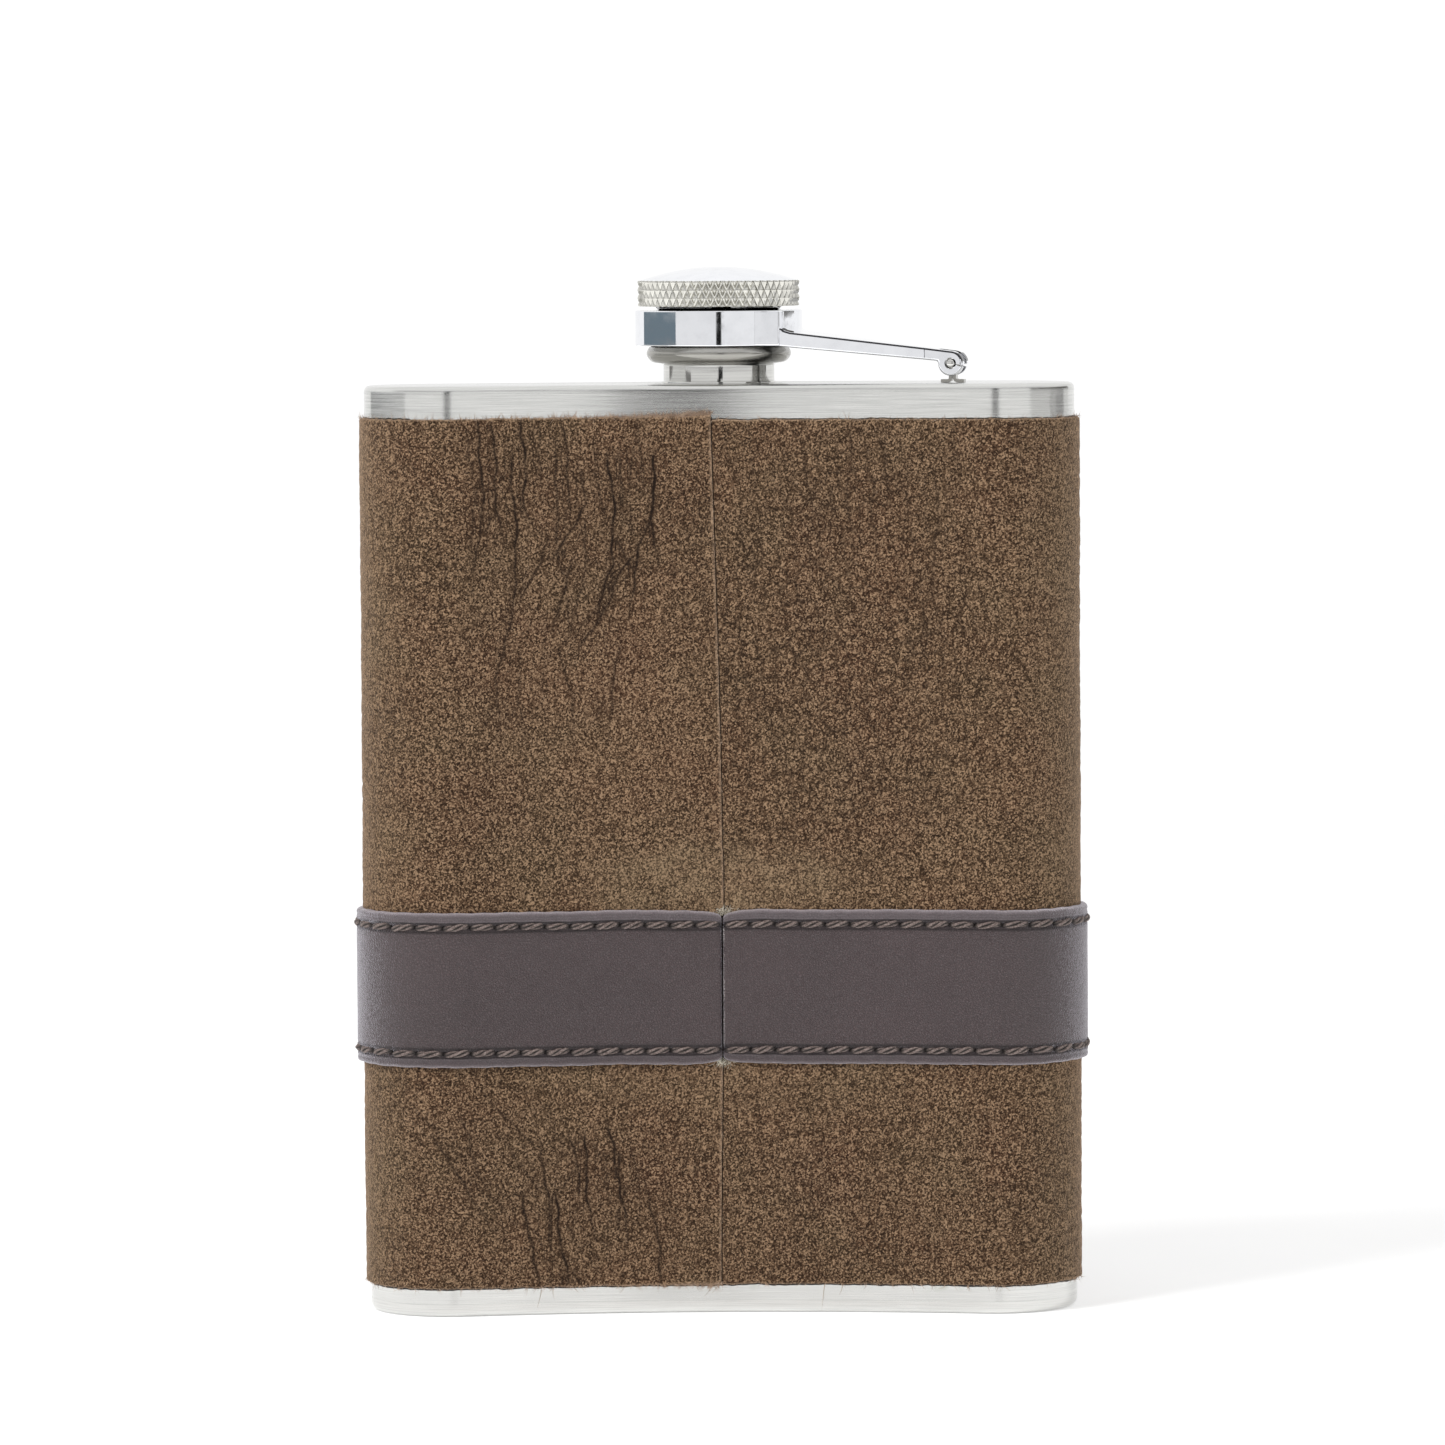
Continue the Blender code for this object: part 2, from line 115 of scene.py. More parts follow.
def soft_noise(x, y, cell, seed):
    """Smooth noise, mostly from -1 to 1, whose bumps are about a cell across."""
    lattice = np.random.default_rng(seed).random((256, 256)) * 2 * pi
    u, v = x / cell, y / cell
    i, j = np.floor(u).astype(int), np.floor(v).astype(int)
    u, v = u - i, v - j

    def corner(di, dj):
        angle = lattice[(i + di) % 256, (j + dj) % 256]
        return np.cos(angle) * (u - di) + np.sin(angle) * (v - dj)

    fade_u, fade_v = u * u * (3 - 2 * u), v * v * (3 - 2 * v)
    low = corner(0, 0) * (1 - fade_u) + corner(1, 0) * fade_u
    high = corner(0, 1) * (1 - fade_u) + corner(1, 1) * fade_u
    return 1.6 * (low * (1 - fade_v) + high * fade_v)


def grain_borders(x, y, cell, seed, spread):
    """How far each point is from the border between two grains, in cells: 0 on the border, with a
    sign that changes across it. spread is how far a grain's middle strays from its cell's."""
    jitter = np.random.default_rng(seed).random((3, 256, 256))
    u, v = x / cell, y / cell
    i, j = np.floor(u).astype(int), np.floor(v).astype(int)
    nearest, second = np.full(u.shape, 9.0), np.full(u.shape, 9.0)
    first_key, second_key = np.zeros(u.shape), np.zeros(u.shape)
    for a, b in ((i + di, j + dj) for di in (-1, 0, 1) for dj in (-1, 0, 1)):
        across, up, key = jitter[:, a % 256, b % 256]
        away = np.hypot(a + 0.5 + spread * (across - 0.5) - u, b + 0.5 + spread * (up - 0.5) - v)
        closer, next_best = away < nearest, (away >= nearest) & (away < second)
        second = np.where(closer, nearest, np.where(next_best, away, second))
        second_key = np.where(closer, first_key, np.where(next_best, key, second_key))
        nearest, first_key = np.where(closer, away, nearest), np.where(closer, key, first_key)
    return (second - nearest) * np.where(first_key > second_key, 1, -1)


def noise_along(x, cell, seed):
    """Smooth noise of one distance."""
    return soft_noise(x, 0 * x, cell, seed)


def limited(value):
    """The value, kept from 0 to 1."""
    return np.clip(value, 0, 1)


def bell(away, width):
    """1 where away is 0, falling smoothly to nearly 0 two widths from there."""
    return np.exp(-((away / width) ** 2))


def patch(x, y, centre, size):
    """1 inside an oval patch, falling smoothly to 0 outside it."""
    away = np.hypot((x - centre[0]) / size[0], (y - centre[1]) / size[1])
    return 1 / (1 + np.exp(8 * (away - 1)))


def spaced(length, step, ends):
    """Distances from 0 to length: the ends' list from each end, and even steps between."""
    ends = np.array(ends)
    middle = length - 2 * ends[-1]
    inner = ends[-1] + np.linspace(0, middle, max(2, round(middle / step) + 1))[1:-1]
    return np.concatenate([ends, inner, length - ends[::-1]])


# Meshes

def quads(rows, columns, ring=False):
    """The faces of a grid of points. A ring's last column joins its first."""
    index = np.arange(rows * columns).reshape(rows, columns)
    if ring:
        index = np.concatenate([index, index[:, :1]], 1)
    corners = [index[:-1, :-1], index[:-1, 1:], index[1:, 1:], index[1:, :-1]]
    return np.stack(corners, -1).reshape(-1, 4)


@contextmanager
def caged(mesh):
    """The mesh as a bmesh, written back at the end."""
    cage = bmesh.new()
    cage.from_mesh(mesh)
    yield cage
    cage.to_mesh(mesh)
    cage.free()


def merged(mesh):
    """The mesh with its double points joined and its faces turned out."""
    with caged(mesh) as cage:
        bmesh.ops.remove_doubles(cage, verts=cage.verts, dist=0.001 * MM)
        bmesh.ops.recalc_face_normals(cage, faces=cage.faces)
    return mesh


def bevel(cage, size, limit=40, profile=0.6):
    """Rounds the edges where the faces meet at more than the limit in degrees."""
    edges = [edge for edge in cage.edges if edge.calc_face_angle(0) > radians(limit)]
    bmesh.ops.bevel(cage, geom=edges, offset=size, segments=3, profile=profile, affect="EDGES",
                    clamp_overlap=True)


def new_mesh(name, points, faces):
    mesh = bpy.data.meshes.new(name)
    mesh.from_pydata(np.asarray(points, float).reshape(-1, 3).tolist(), [],
                     [list(map(int, face)) for face in faces])
    return mesh


def mesh_of(points, faces):
    return merged(new_mesh("shape", points, faces))


def placed(name, data):
    """A new object in the scene."""
    obj = bpy.data.objects.new(name, data)
    bpy.context.scene.collection.objects.link(obj)
    return obj


def piece(name, points, faces, material, body, slot, *stands_for, sharp=35, tidy=True):
    """A finished piece from its points and faces."""
    mesh = new_mesh(name, points, faces)
    return finish_piece(name, mesh, material, body, slot, *stands_for, sharp=sharp, tidy=tidy)


def finish_piece(name, mesh, material, body, slot, *stands_for, sharp=35, tidy=True, cast=False):
    """A piece with its shading, material, body and the CAD nodes it replaces; slot is not used. A cast
    piece's flat faces stay flat beside its rounded edges."""
    if tidy:
        merged(mesh)
    mesh.shade_smooth()
    mesh.set_sharp_from_angle(angle=radians(sharp))
    mesh.materials.clear()
    mesh.materials.append(material)
    obj = placed(name, mesh)
    if cast:
        weigh = obj.modifiers.new("flat_faces_stay_flat", "WEIGHTED_NORMAL")
        weigh.keep_sharp = True
        weigh.weight = 100
        obj.data = applied(obj)
        obj.modifiers.clear()
    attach(obj, body)
    if stands_for:
        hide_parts(*stands_for)
    return obj


def applied(obj):
    """The object's mesh with its modifiers applied."""
    bpy.context.view_layer.update()
    evaluated = obj.evaluated_get(bpy.context.evaluated_depsgraph_get())
    return bpy.data.meshes.new_from_object(evaluated)


def add_material(obj, material, chosen):
    """A second material, on the faces that chosen picks."""
    obj.data.materials.append(material)
    for face in obj.data.polygons:
        face.material_index = int(chosen(face))


def paint(obj, name, values):
    """A number at each point of a piece, for its material to read."""
    layer = obj.data.attributes.new(name, "FLOAT", "POINT")
    layer.data.foreach_set("value", values.astype(np.float32).ravel())


def rounded(corners, steps=4):
    """A profile through corners of (x, y, radius), with each corner rounded by its radius."""
    points = []
    count = len(corners)
    for n, (x, y, radius) in enumerate(corners):
        here = np.array([x, y])
        if radius == 0:
            points.append(here)
            continue
        before = np.array(corners[n - 1][:2]) - here
        after = np.array(corners[(n + 1) % count][:2]) - here
        start = here + before * min(0.5, radius / np.hypot(*before))
        end = here + after * min(0.5, radius / np.hypot(*after))
        for t in np.linspace(0, 1, steps + 1):
            points.append((1 - t) ** 2 * start + 2 * t * (1 - t) * here + t * t * end)
    return np.array(points)


def lathe_grid(profile, steps, centre, shape=None):
    """The points of a profile of (radius, height) turned about the vertical through centre.
    shape(angle, radius, height) gives each point's radius."""
    angle = np.linspace(0, 2 * pi, steps, endpoint=False)[None, :]
    radius, height = profile[:, :1] + 0 * angle, profile[:, 1:] + 0 * angle
    if shape:
        radius = shape(angle + 0 * radius, radius, height)
    return np.stack([centre[0] + radius * np.cos(angle), centre[1] + radius * np.sin(angle),
                     centre[2] + height], -1)


def lathe(name, profile, steps, centre, finish, shape=None, sharp=35):
    """A piece of closed or axis-to-axis profile, turned. finish holds piece's last arguments."""
    if profile[0][0] != 0:
        profile = np.concatenate([profile, profile[:1]])
    points = lathe_grid(profile, steps, centre, shape)
    return piece(name, points, quads(len(profile), steps, ring=True), *finish, sharp=sharp)


def prism(outline_points, low, high, edge=0.0, limit=40):
    """A flat outline given in XY, run from low to high, with its sharp edges rounded."""
    count = len(outline_points)
    points = [(*p[:2], z) for z in (low, high) for p in outline_points]
    sides = [(n, (n + 1) % count, count + (n + 1) % count, count + n) for n in range(count)]
    mesh = mesh_of(points, [list(range(count)), list(range(count, 2 * count)), *sides])
    if edge:
        with caged(mesh) as cage:
            bevel(cage, edge, limit)
    return mesh


def combined(first, *others):
    """The first mesh joined with, or cut by, the others: pairs of an operation and a mesh."""
    base = placed("base", first)
    tools = []
    for operation, mesh in others:
        tools.append(placed("tool", mesh))
        modifier = base.modifiers.new(operation, "BOOLEAN")
        modifier.operation = operation
        modifier.object = tools[-1]
        modifier.solver = "EXACT"
    result = applied(base)
    for obj in (base, *tools):
        bpy.data.objects.remove(obj)
    return result


def tubes(paths, radius, sides, reference):
    """Points and faces of round tubes along paths of shape (tubes, points, 3)."""
    ahead = np.gradient(paths, axis=1)
    ahead /= np.linalg.norm(ahead, axis=-1, keepdims=True)
    across = np.cross(ahead, reference)
    across /= np.linalg.norm(across, axis=-1, keepdims=True)
    up = np.cross(across, ahead)
    turns = np.arange(sides) * 2 * pi / sides
    radius = np.broadcast_to(radius, paths.shape[:2])[..., None, None]
    ring = across[:, :, None] * np.cos(turns)[:, None] + up[:, :, None] * np.sin(turns)[:, None]
    points = paths[:, :, None] + radius * ring
    count, length = paths.shape[:2]
    one = quads(length, sides, ring=True)
    faces = (one[None] + np.arange(count)[:, None, None] * length * sides).reshape(-1, 4)
    caps = []
    for n in range(count):
        first = n * length * sides
        caps.append(list(range(first + sides - 1, first - 1, -1)))
        last = first + (length - 1) * sides
        caps.append(list(range(last, last + sides)))
    return points, [*faces.tolist(), *caps]


# Materials

class Nodes:
    """A node tree that is built up node by node."""

    def __init__(self, tree):
        self.tree = tree

    def node(self, kind, inputs, **settings):
        """A node of that kind. Each of its inputs is a value or another node's output."""
        node = self.tree.nodes.new("ShaderNode" + kind)
        for key, value in settings.items():
            setattr(node, key, value)
        for key, value in inputs.items():
            if isinstance(value, bpy.types.NodeSocket):
                self.tree.links.new(value, node.inputs[key])
            else:
                node.inputs[key].default_value = value
        return node

    def math(self, operation, *values):
        return self.node("Math", dict(enumerate(values)), operation=operation).outputs[0]

    def mix(self, factor, a, b, blend="MIX"):
        """Colour a to colour b by factor."""
        a, b = [(*c, 1.0) if isinstance(c, tuple) and len(c) == 3 else c for c in (a, b)]
        return self.node("Mix", {0: factor, 6: a, 7: b}, data_type="RGBA",
                         blend_type=blend).outputs[2]


class Finish(Nodes):
    """One procedural material."""

    def __init__(self, name, roughness, metallic=0.0, **constants):
        self.material = bpy.data.materials.new(name)
        self.material.use_nodes = True
        super().__init__(self.material.node_tree)
        self.shader = self.tree.nodes["Principled BSDF"]
        self.shader.inputs["Roughness"].default_value = roughness
        self.shader.inputs["Metallic"].default_value = metallic
        for key, value in constants.items():
            self.shader.inputs[key.replace("_", " ")].default_value = value

    def place(self, scale=(1, 1, 1), attribute=None):
        """Where on the piece a point is, in metres times scale."""
        if attribute:
            where = self.node("Attribute", {}, attribute_name=attribute).outputs["Vector"]
        else:
            where = self.node("TexCoord", {}).outputs["Object"]
        return self.node("Mapping", {"Vector": where, "Scale": scale}).outputs["Vector"]

    def value(self, attribute):
        return self.node("Attribute", {}, attribute_name=attribute).outputs["Fac"]

    def noise(self, where, scale, detail=2.0, roughness=0.5, distortion=0.0):
        return self.node("TexNoise", {"Vector": where, "Scale": scale, "Detail": detail,
                                      "Roughness": roughness, "Distortion": distortion}).outputs["Fac"]

    def cells(self, where, scale, feature="DISTANCE_TO_EDGE", output="Distance"):
        return self.node("TexVoronoi", {"Vector": where, "Scale": scale},
                         feature=feature).outputs[output]

    def span(self, value, low, high, to_low=0.0, to_high=1.0):
        return self.node("MapRange", {"Value": value, "From Min": low, "From Max": high,
                                      "To Min": to_low, "To Max": to_high}).outputs["Result"]

    def drive(self, socket, value):
        self.tree.links.new(value, self.shader.inputs[socket])

    def bump(self, height, strength, distance, under=None):
        """Relief of that depth in metres, over the relief under it."""
        inputs = {"Height": height, "Strength": strength, "Distance": distance}
        if under:
            inputs["Normal"] = under
        return self.node("Bump", inputs).outputs["Normal"]


def line_mask(finish, distance, width, strength):
    """1 on a line and 0 away from it, from an attribute that holds the distance from it."""
    away = finish.math("ABSOLUTE", finish.value(distance), 0.0)
    return finish.math("MULTIPLY", finish.span(away, width, 0.0), finish.value(strength))


def nubuck():
    """Brown buffed leather: short nap and mottled, pale where it is cut, lighter with wear, with painted
    sheen on its rounded ends, and with painted shade in its creases, between its pebbles and in its seam.
    """
    finish = Finish("nubuck", 0.92, Sheen_Weight=0.74, Sheen_Roughness=0.30,
                    Sheen_Tint=(0.66, 0.48, 0.345, 1), Specular_IOR_Level=0.18)
    flat = finish.place(attribute="flat")
    grit = finish.cells(flat, 5000, "F1", "Color")
    nap = finish.math("ADD", finish.math("MULTIPLY", finish.noise(flat, 4000, 2, 0.7), 0.6),
                      finish.math("MULTIPLY", grit, 0.4))
    fleck = finish.noise(flat, 1900, 3, 0.8, 0.5)
    # Mottled ground, with dark and light nap and flecks
    cloud = finish.noise(flat, 42, 4, 0.62)
    hue = finish.noise(flat, 75, 3, 0.6)
    colour = finish.mix(finish.span(cloud, 0.32, 0.68), (0.067, 0.0340, 0.0188), (0.098, 0.0545, 0.0312))
    colour = finish.mix(finish.span(hue, 0.35, 0.65, 0, 0.65), colour, (0.080, 0.054, 0.0300))
    dark = finish.mix(1.0, colour, (0.235, 0.210, 0.185), "MULTIPLY")
    light = finish.mix(0.66, colour, (0.36, 0.238, 0.145))
    colour = finish.mix(finish.span(nap, 0.52, 0.63), colour, light)
    colour = finish.mix(finish.span(nap, 0.49, 0.39), colour, dark)
    colour = finish.mix(finish.span(fleck, 0.60, 0.72, 0, 0.6), colour, (0.34, 0.235, 0.155))
    colour = finish.mix(finish.span(fleck, 0.42, 0.30, 0, 0.75), colour, (0.018, 0.0095, 0.006))
    # Lighter with wear beside the band, and with painted sheen on the rounded ends
    wear_and_sheen = finish.math("MULTIPLY", finish.value("wear_and_sheen"), finish.span(nap, 0.36, 0.60, 0.10, 0.62))
    colour = finish.mix(wear_and_sheen, colour, (0.25, 0.178, 0.108))
    # Painted shade: darker in the creases and along the pebble's borders
    soft = line_mask(finish, "fold", 1.1, "fold_depth")
    core = line_mask(finish, "fold", 0.30, "fold_depth")
    broken = finish.span(finish.noise(flat, 420, 2, 0.6), 0.34, 0.54, 0.45, 1.0)
    core = finish.math("MULTIPLY", core, broken)
    colour = finish.mix(finish.span(soft, 0, 1, 0, 0.60), colour, (0.030, 0.0165, 0.0095))
    colour = finish.mix(finish.span(core, 0, 0.6, 0, 0.95), colour, (0.009, 0.005, 0.0035))
    grain = line_mask(finish, "pebble", 0.24, "pebbled")
    fine = line_mask(finish, "pebble", 0.10, "pebbled")
    colour = finish.mix(finish.span(grain, 0, 1, 0, 0.48), colour, (0.024, 0.0135, 0.0080))
    colour = finish.mix(finish.span(fine, 0, 1, 0, 0.52), colour, (0.012, 0.0070, 0.0042))
    # Pale cut edges, and painted shade in the open seam and under the band's joint
    edge = finish.math("MULTIPLY", finish.value("raw"), finish.span(nap, 0.40, 0.55, 0.55, 1.0))
    colour = finish.mix(edge, colour, (0.40, 0.275, 0.180))
    colour = finish.mix(finish.value("gap"), colour, (0.012, 0.007, 0.005))
    finish.drive("Base Color", colour)
    finish.drive("Roughness", finish.span(cloud, 0.2, 0.8, 0.86, 0.98))
    relief = finish.bump(fleck, 0.8, 0.16 * MM)
    relief = finish.bump(nap, 0.8, 0.09 * MM, relief)
    relief = finish.bump(finish.span(grain, 0, 1, 1, 0), 0.6, 0.10 * MM, relief)
    finish.drive("Normal", finish.bump(finish.span(core, 0, 1, 1, 0), 0.7, 0.14 * MM, relief))
    return finish.material


def shade_strip_finish():
    """A dark, uneven strip of painted shade."""
    finish = Finish("shade_strip", 0.6)
    shade = finish.noise(finish.place(), 900, 3, 0.6)
    finish.drive("Base Color", finish.mix(finish.span(shade, 0.35, 0.7), (0.010, 0.007, 0.005),
                                          (0.040, 0.030, 0.020)))
    finish.drive("Normal", finish.bump(shade, 0.4, 0.04 * MM))
    return finish.material


def smooth_leather():
    """Dark corrected leather: a fine pressed grain under a half-matte coat, with painted shade round its
    stitches and painted highlight along its edges.
    """
    finish = Finish("smooth_leather", 0.40, Specular_IOR_Level=0.5, Coat_Weight=0.15,
                    Coat_Roughness=0.30, Sheen_Weight=0.75, Sheen_Roughness=0.33,
                    Sheen_Tint=(0.93, 0.90, 1.0, 1))
    flat = finish.place(attribute="flat")
    cloud = finish.noise(flat, 60, 3, 0.55)
    pores = finish.cells(flat, 3300)
    hair = finish.noise(flat, 5200, 2, 0.5)
    colour = finish.mix(finish.span(cloud, 0.3, 0.7), (0.041, 0.0255, 0.0262), (0.058, 0.0370, 0.0382))
    colour = finish.mix(finish.span(pores, 0.0, 0.18, 0.70, 0.0), colour, (0.016, 0.011, 0.012))
    colour = finish.mix(finish.span(hair, 0.50, 0.68, 0, 0.50), colour, (0.118, 0.092, 0.097))
    # Painted shade in the stitch holes, the stitch channel, beside the stitches and in the edge crease
    # line
    crease = finish.value("crease")
    colour = finish.mix(finish.span(crease, 0, 1, 0, 0.92), colour, (0.008, 0.0055, 0.0055))
    # Pale edges: their own finish, with painted highlight on the rounded edges
    colour = finish.mix(finish.value("raw"), colour, (0.30, 0.265, 0.285))
    chipped = finish.math("MULTIPLY", finish.value("chip"), finish.span(hair, 0.44, 0.60))
    colour = finish.mix(chipped, colour, (0.64, 0.59, 0.57))
    finish.drive("Base Color", colour)
    finish.drive("Roughness", finish.math("MAXIMUM", finish.span(cloud, 0.25, 0.75, 0.34, 0.46),
                                          finish.span(crease, 0, 1, 0.3, 0.95)))
    ripple = finish.noise(finish.place((900, 420, 1), "flat"), 1, 2, 0.5, 0.6)
    relief = finish.bump(ripple, 0.6, 0.08 * MM)
    relief = finish.bump(finish.span(pores, 0.0, 0.25), 1.0, 0.08 * MM, relief)
    finish.drive("Normal", finish.bump(hair, 0.6, 0.04 * MM, relief))
    return finish.material


def thread_finish():
    """Waxed, twisted thread, with painted shade between its plies and at its holes."""
    finish = Finish("thread", 0.62, Sheen_Weight=0.2, Sheen_Roughness=0.4,
                    Sheen_Tint=(0.5, 0.42, 0.38, 1))
    where = finish.place()
    fibre = finish.noise(where, 5200, 2, 0.6)
    shade = finish.noise(where, 420, 2)
    colour = finish.mix(finish.span(shade, 0.3, 0.7), (0.060, 0.040, 0.035), (0.102, 0.072, 0.063))
    colour = finish.mix(finish.span(fibre, 0.40, 0.66, 0, 0.75), colour, (0.28, 0.225, 0.205))
    # Painted shade between the plies and at the holes
    colour = finish.mix(finish.value("groove"), colour, (0.004, 0.0028, 0.0025))
    finish.drive("Base Color", colour)
    finish.drive("Normal", finish.bump(fibre, 0.5, 0.05 * MM))
    return finish.material


def fibre_finish(name, dark, light):
    """Loose fibres at the leather's cut edges."""
    finish = Finish(name, 0.9, Sheen_Weight=0.3, Sheen_Roughness=0.5)
    shade = finish.noise(finish.place(), 900, 2)
    finish.drive("Base Color", finish.mix(finish.span(shade, 0.3, 0.7), dark, light))
    return finish.material


def steel(name, tint, roughness, lay, relief, streak=0.0, stained=False):
    """Brushed or turned steel. lay gives the scratches' fineness along X, Y and Z, and streak
    how much further the scratches spread light up and down than round the flask."""
    finish = Finish(name, roughness, 1.0, Anisotropic=streak, Anisotropic_Rotation=0.25)
    scratch = finish.noise(finish.place(lay), 1, 3, 0.65)
    cloud = finish.noise(finish.place(), 90, 3, 0.55)
    light = tuple(min(1.0, c * 1.07) for c in tint)
    dark = tuple(c * 0.80 for c in tint)
    colour = finish.mix(finish.span(scratch, 0.3, 0.7), dark, light)
    colour = finish.mix(finish.span(cloud, 0.35, 0.7, 0, 0.35), colour, dark)
    if stained:
        place = finish.node("SeparateXYZ", {"Vector": finish.place()}).outputs["Z"]
        low = finish.span(place, 2.0 * MM, 4.2 * MM)
        blot = finish.span(finish.noise(finish.place(), 210, 3, 0.6), 0.60, 0.72, 0, 0.5)
        below = finish.math("LESS_THAN", place, 6 * MM)
        mask = finish.math("MULTIPLY", finish.math("MULTIPLY", low, blot), below)
        colour = finish.mix(mask, colour, (0.36, 0.40, 0.30))
    finish.drive("Base Color", colour)
    finish.drive("Roughness", finish.span(scratch, 0.25, 0.75, roughness * 0.8, roughness * 1.25))
    finish.drive("Normal", finish.bump(scratch, 0.35, relief))
    return finish.material


def chrome_finish():
    """Plated die casting: a mirror with a faint ripple and a few smudges."""
    finish = Finish("chrome", 0.05, 1.0)
    ripple = finish.noise(finish.place(), 260, 2, 0.5)
    smudge = finish.noise(finish.place(), 420, 4, 0.6)
    finish.drive("Base Color", finish.mix(finish.span(smudge, 0.4, 0.75), (0.88, 0.89, 0.92),
                                          (0.80, 0.81, 0.84)))
    finish.drive("Roughness", finish.span(smudge, 0.4, 0.8, 0.03, 0.12))
    finish.drive("Normal", finish.bump(ripple, 0.25, 0.012 * MM))
    return finish.material


def silicone_finish():
    finish = Finish("silicone", 0.42, Subsurface_Weight=0.1, Subsurface_Scale=1 * MM)
    dust = finish.noise(finish.place(), 1500, 3, 0.6)
    finish.drive("Base Color", finish.mix(finish.span(dust, 0.35, 0.7), (0.74, 0.74, 0.71),
                                          (0.84, 0.84, 0.82)))
    finish.drive("Normal", finish.bump(dust, 0.2, 0.02 * MM))
    return finish.material


# Steel vessel

def ring_rows(rows, columns=360):
    """Grid points round the flask: one ring for each (out, z)."""
    s = np.linspace(0, GIRTH, columns, endpoint=False)
    return np.stack([on_flask(s, z, out) for out, z in rows])


def body_shell(material):
    low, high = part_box("body_shell")[0].z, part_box("body_shell")[1].z + 0.09 * MM
    wall = 0.6 * MM
    points = ring_rows([(-wall, low), (0, low), (0, high), (-wall, high), (-wall, low)])
    piece("steel_body", points, quads(5, points.shape[1], ring=True), material, "vessel",
          "brushed_steel", "body_shell")


def shoulder(material):
    """A pressed plate: rounded edge, flat top, and a hole that the neck stands in."""
    low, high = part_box("top_plate")[0].z, SHOULDER_Z
    radius, crown = 0.75 * MM, 0.12 * MM
    edge = [(-radius * (1 - cos(t)), high - radius * (1 - sin(t)))
            for t in np.linspace(0, pi / 2, 7)]
    rim = ring_rows([(0, low), *edge])
    s = np.linspace(0, GIRTH, rim.shape[1], endpoint=False)
    inner = outline(s, -radius)
    hole_r = 7.3 * MM
    angle = np.arctan2(inner[:, 1] - MID_Y, inner[:, 0])
    hole = np.stack([hole_r * np.cos(angle), MID_Y + hole_r * np.sin(angle)], -1)
    rows = []
    for t in (0.35, 0.6, 0.8, 0.92, 1.0):
        flat = inner * (1 - t) + hole * t
        away = np.hypot(flat[:, 0], flat[:, 1] - MID_Y)
        rise = high + crown * bell(away - hole_r, 6 * MM)
        rows.append(np.concatenate([flat, rise[:, None]], 1))
    under = [np.concatenate([hole, np.full((len(s), 1), low)], 1), rim[0]]
    points = np.concatenate([rim, np.stack(rows), np.stack(under)])
    piece("steel_shoulder", points, quads(len(points), points.shape[1], ring=True), material,
          "vessel", "brushed_steel", "top_plate")


def base(material):
    """A pressed pan: rounded edge, the flat rim that it stands on, and a shallow dish."""
    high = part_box("base_plate")[1].z + 0.09 * MM
    radius, foot, recess = 1.0 * MM, 2.4 * MM, 0.7 * MM
    edge = [(-radius * (1 - cos(t)), radius * (1 - sin(t))) for t in np.linspace(0, pi / 2, 8)]
    dish = [(-radius - foot - recess * t, recess * (1 - cos(pi * t)) / 2)
            for t in np.linspace(0, 1, 6)]
    points = ring_rows([(0, high), *edge, *dish])
    rows, columns = points.shape[:2]
    caps = [list(range(columns)), list(range((rows - 1) * columns, rows * columns))]
    faces = [*quads(rows, columns, ring=True).tolist(), *caps]
    piece("steel_base", points, faces, material, "vessel", "brushed_steel", "base_plate")


# Neck and cap

THREAD_PITCH = 1.6 * MM


def thread(low, high, wall, depth, fade):
    """A shape for lathe: a right-handed screw thread of this depth on the wall of that radius."""
    def radius_of(angle, radius, height):
        phase = np.mod(height / THREAD_PITCH - angle / (2 * pi), 1)
        ridge = limited(1.6 * (1 - np.abs(2 * phase - 1)) - 0.3)
        inside = limited((height - low) / fade) * limited((high - height) / fade)
        on_wall = np.abs(radius - wall) < 0.05 * MM
        return radius + np.where(on_wall, depth * ridge * inside, 0)
    return radius_of


def thread_rows(radius, start, stop):
    """Profile points down or up a threaded wall, ten to each turn of the thread."""
    count = max(2, round(abs(stop - start) / THREAD_PITCH * 10))
    return [(radius, z, 0) for z in np.linspace(start, stop, count)]


def neck(material, bead_material):
    bottom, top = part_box("neck")[0].z - SHOULDER_Z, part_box("neck")[1].z - SHOULDER_Z
    bore, tube, lip = 6.4 * MM, 7.45 * MM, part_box("neck")[1].x
    profile = rounded([
        (lip - 0.55 * MM, top, 0.35 * MM), (lip + 0.05 * MM, top - 1.05 * MM, 0.75 * MM),
        (lip - 0.75 * MM, top - 2.15 * MM, 0.55 * MM), (tube + 0.3 * MM, top - 2.3 * MM, 0.15 * MM),
        (tube, top - 2.5 * MM, 0.1 * MM), (tube, 0.32 * MM, 0), (tube + 0.22 * MM, 0.28 * MM, 0.03 * MM),
        (tube + 0.22 * MM, 0.08 * MM, 0), (tube - 0.3 * MM, 0.08 * MM, 0),
        (tube - 0.3 * MM, bottom, 0.1 * MM),
        (bore, bottom, 0.15 * MM), *thread_rows(bore, bottom + 0.5 * MM, top - 0.5 * MM),
        (bore, top, 0.25 * MM),
    ])
    shape = thread(bottom + 0.8 * MM, top - 1.0 * MM, bore, -0.38 * MM, 0.8 * MM)
    obj = lathe("neck_spout", profile, 128, (0, MID_Y, SHOULDER_Z),
                (material, "vessel", "polished_steel", "neck"), shape)
    # The bead gets the darker steel: painted shade, for the darker surroundings that its polished face
    # reflects
    bead_from = tube + 0.32 * MM
    add_material(obj, bead_material,
                 lambda face: hypot(face.center.x, face.center.y - MID_Y) > bead_from)


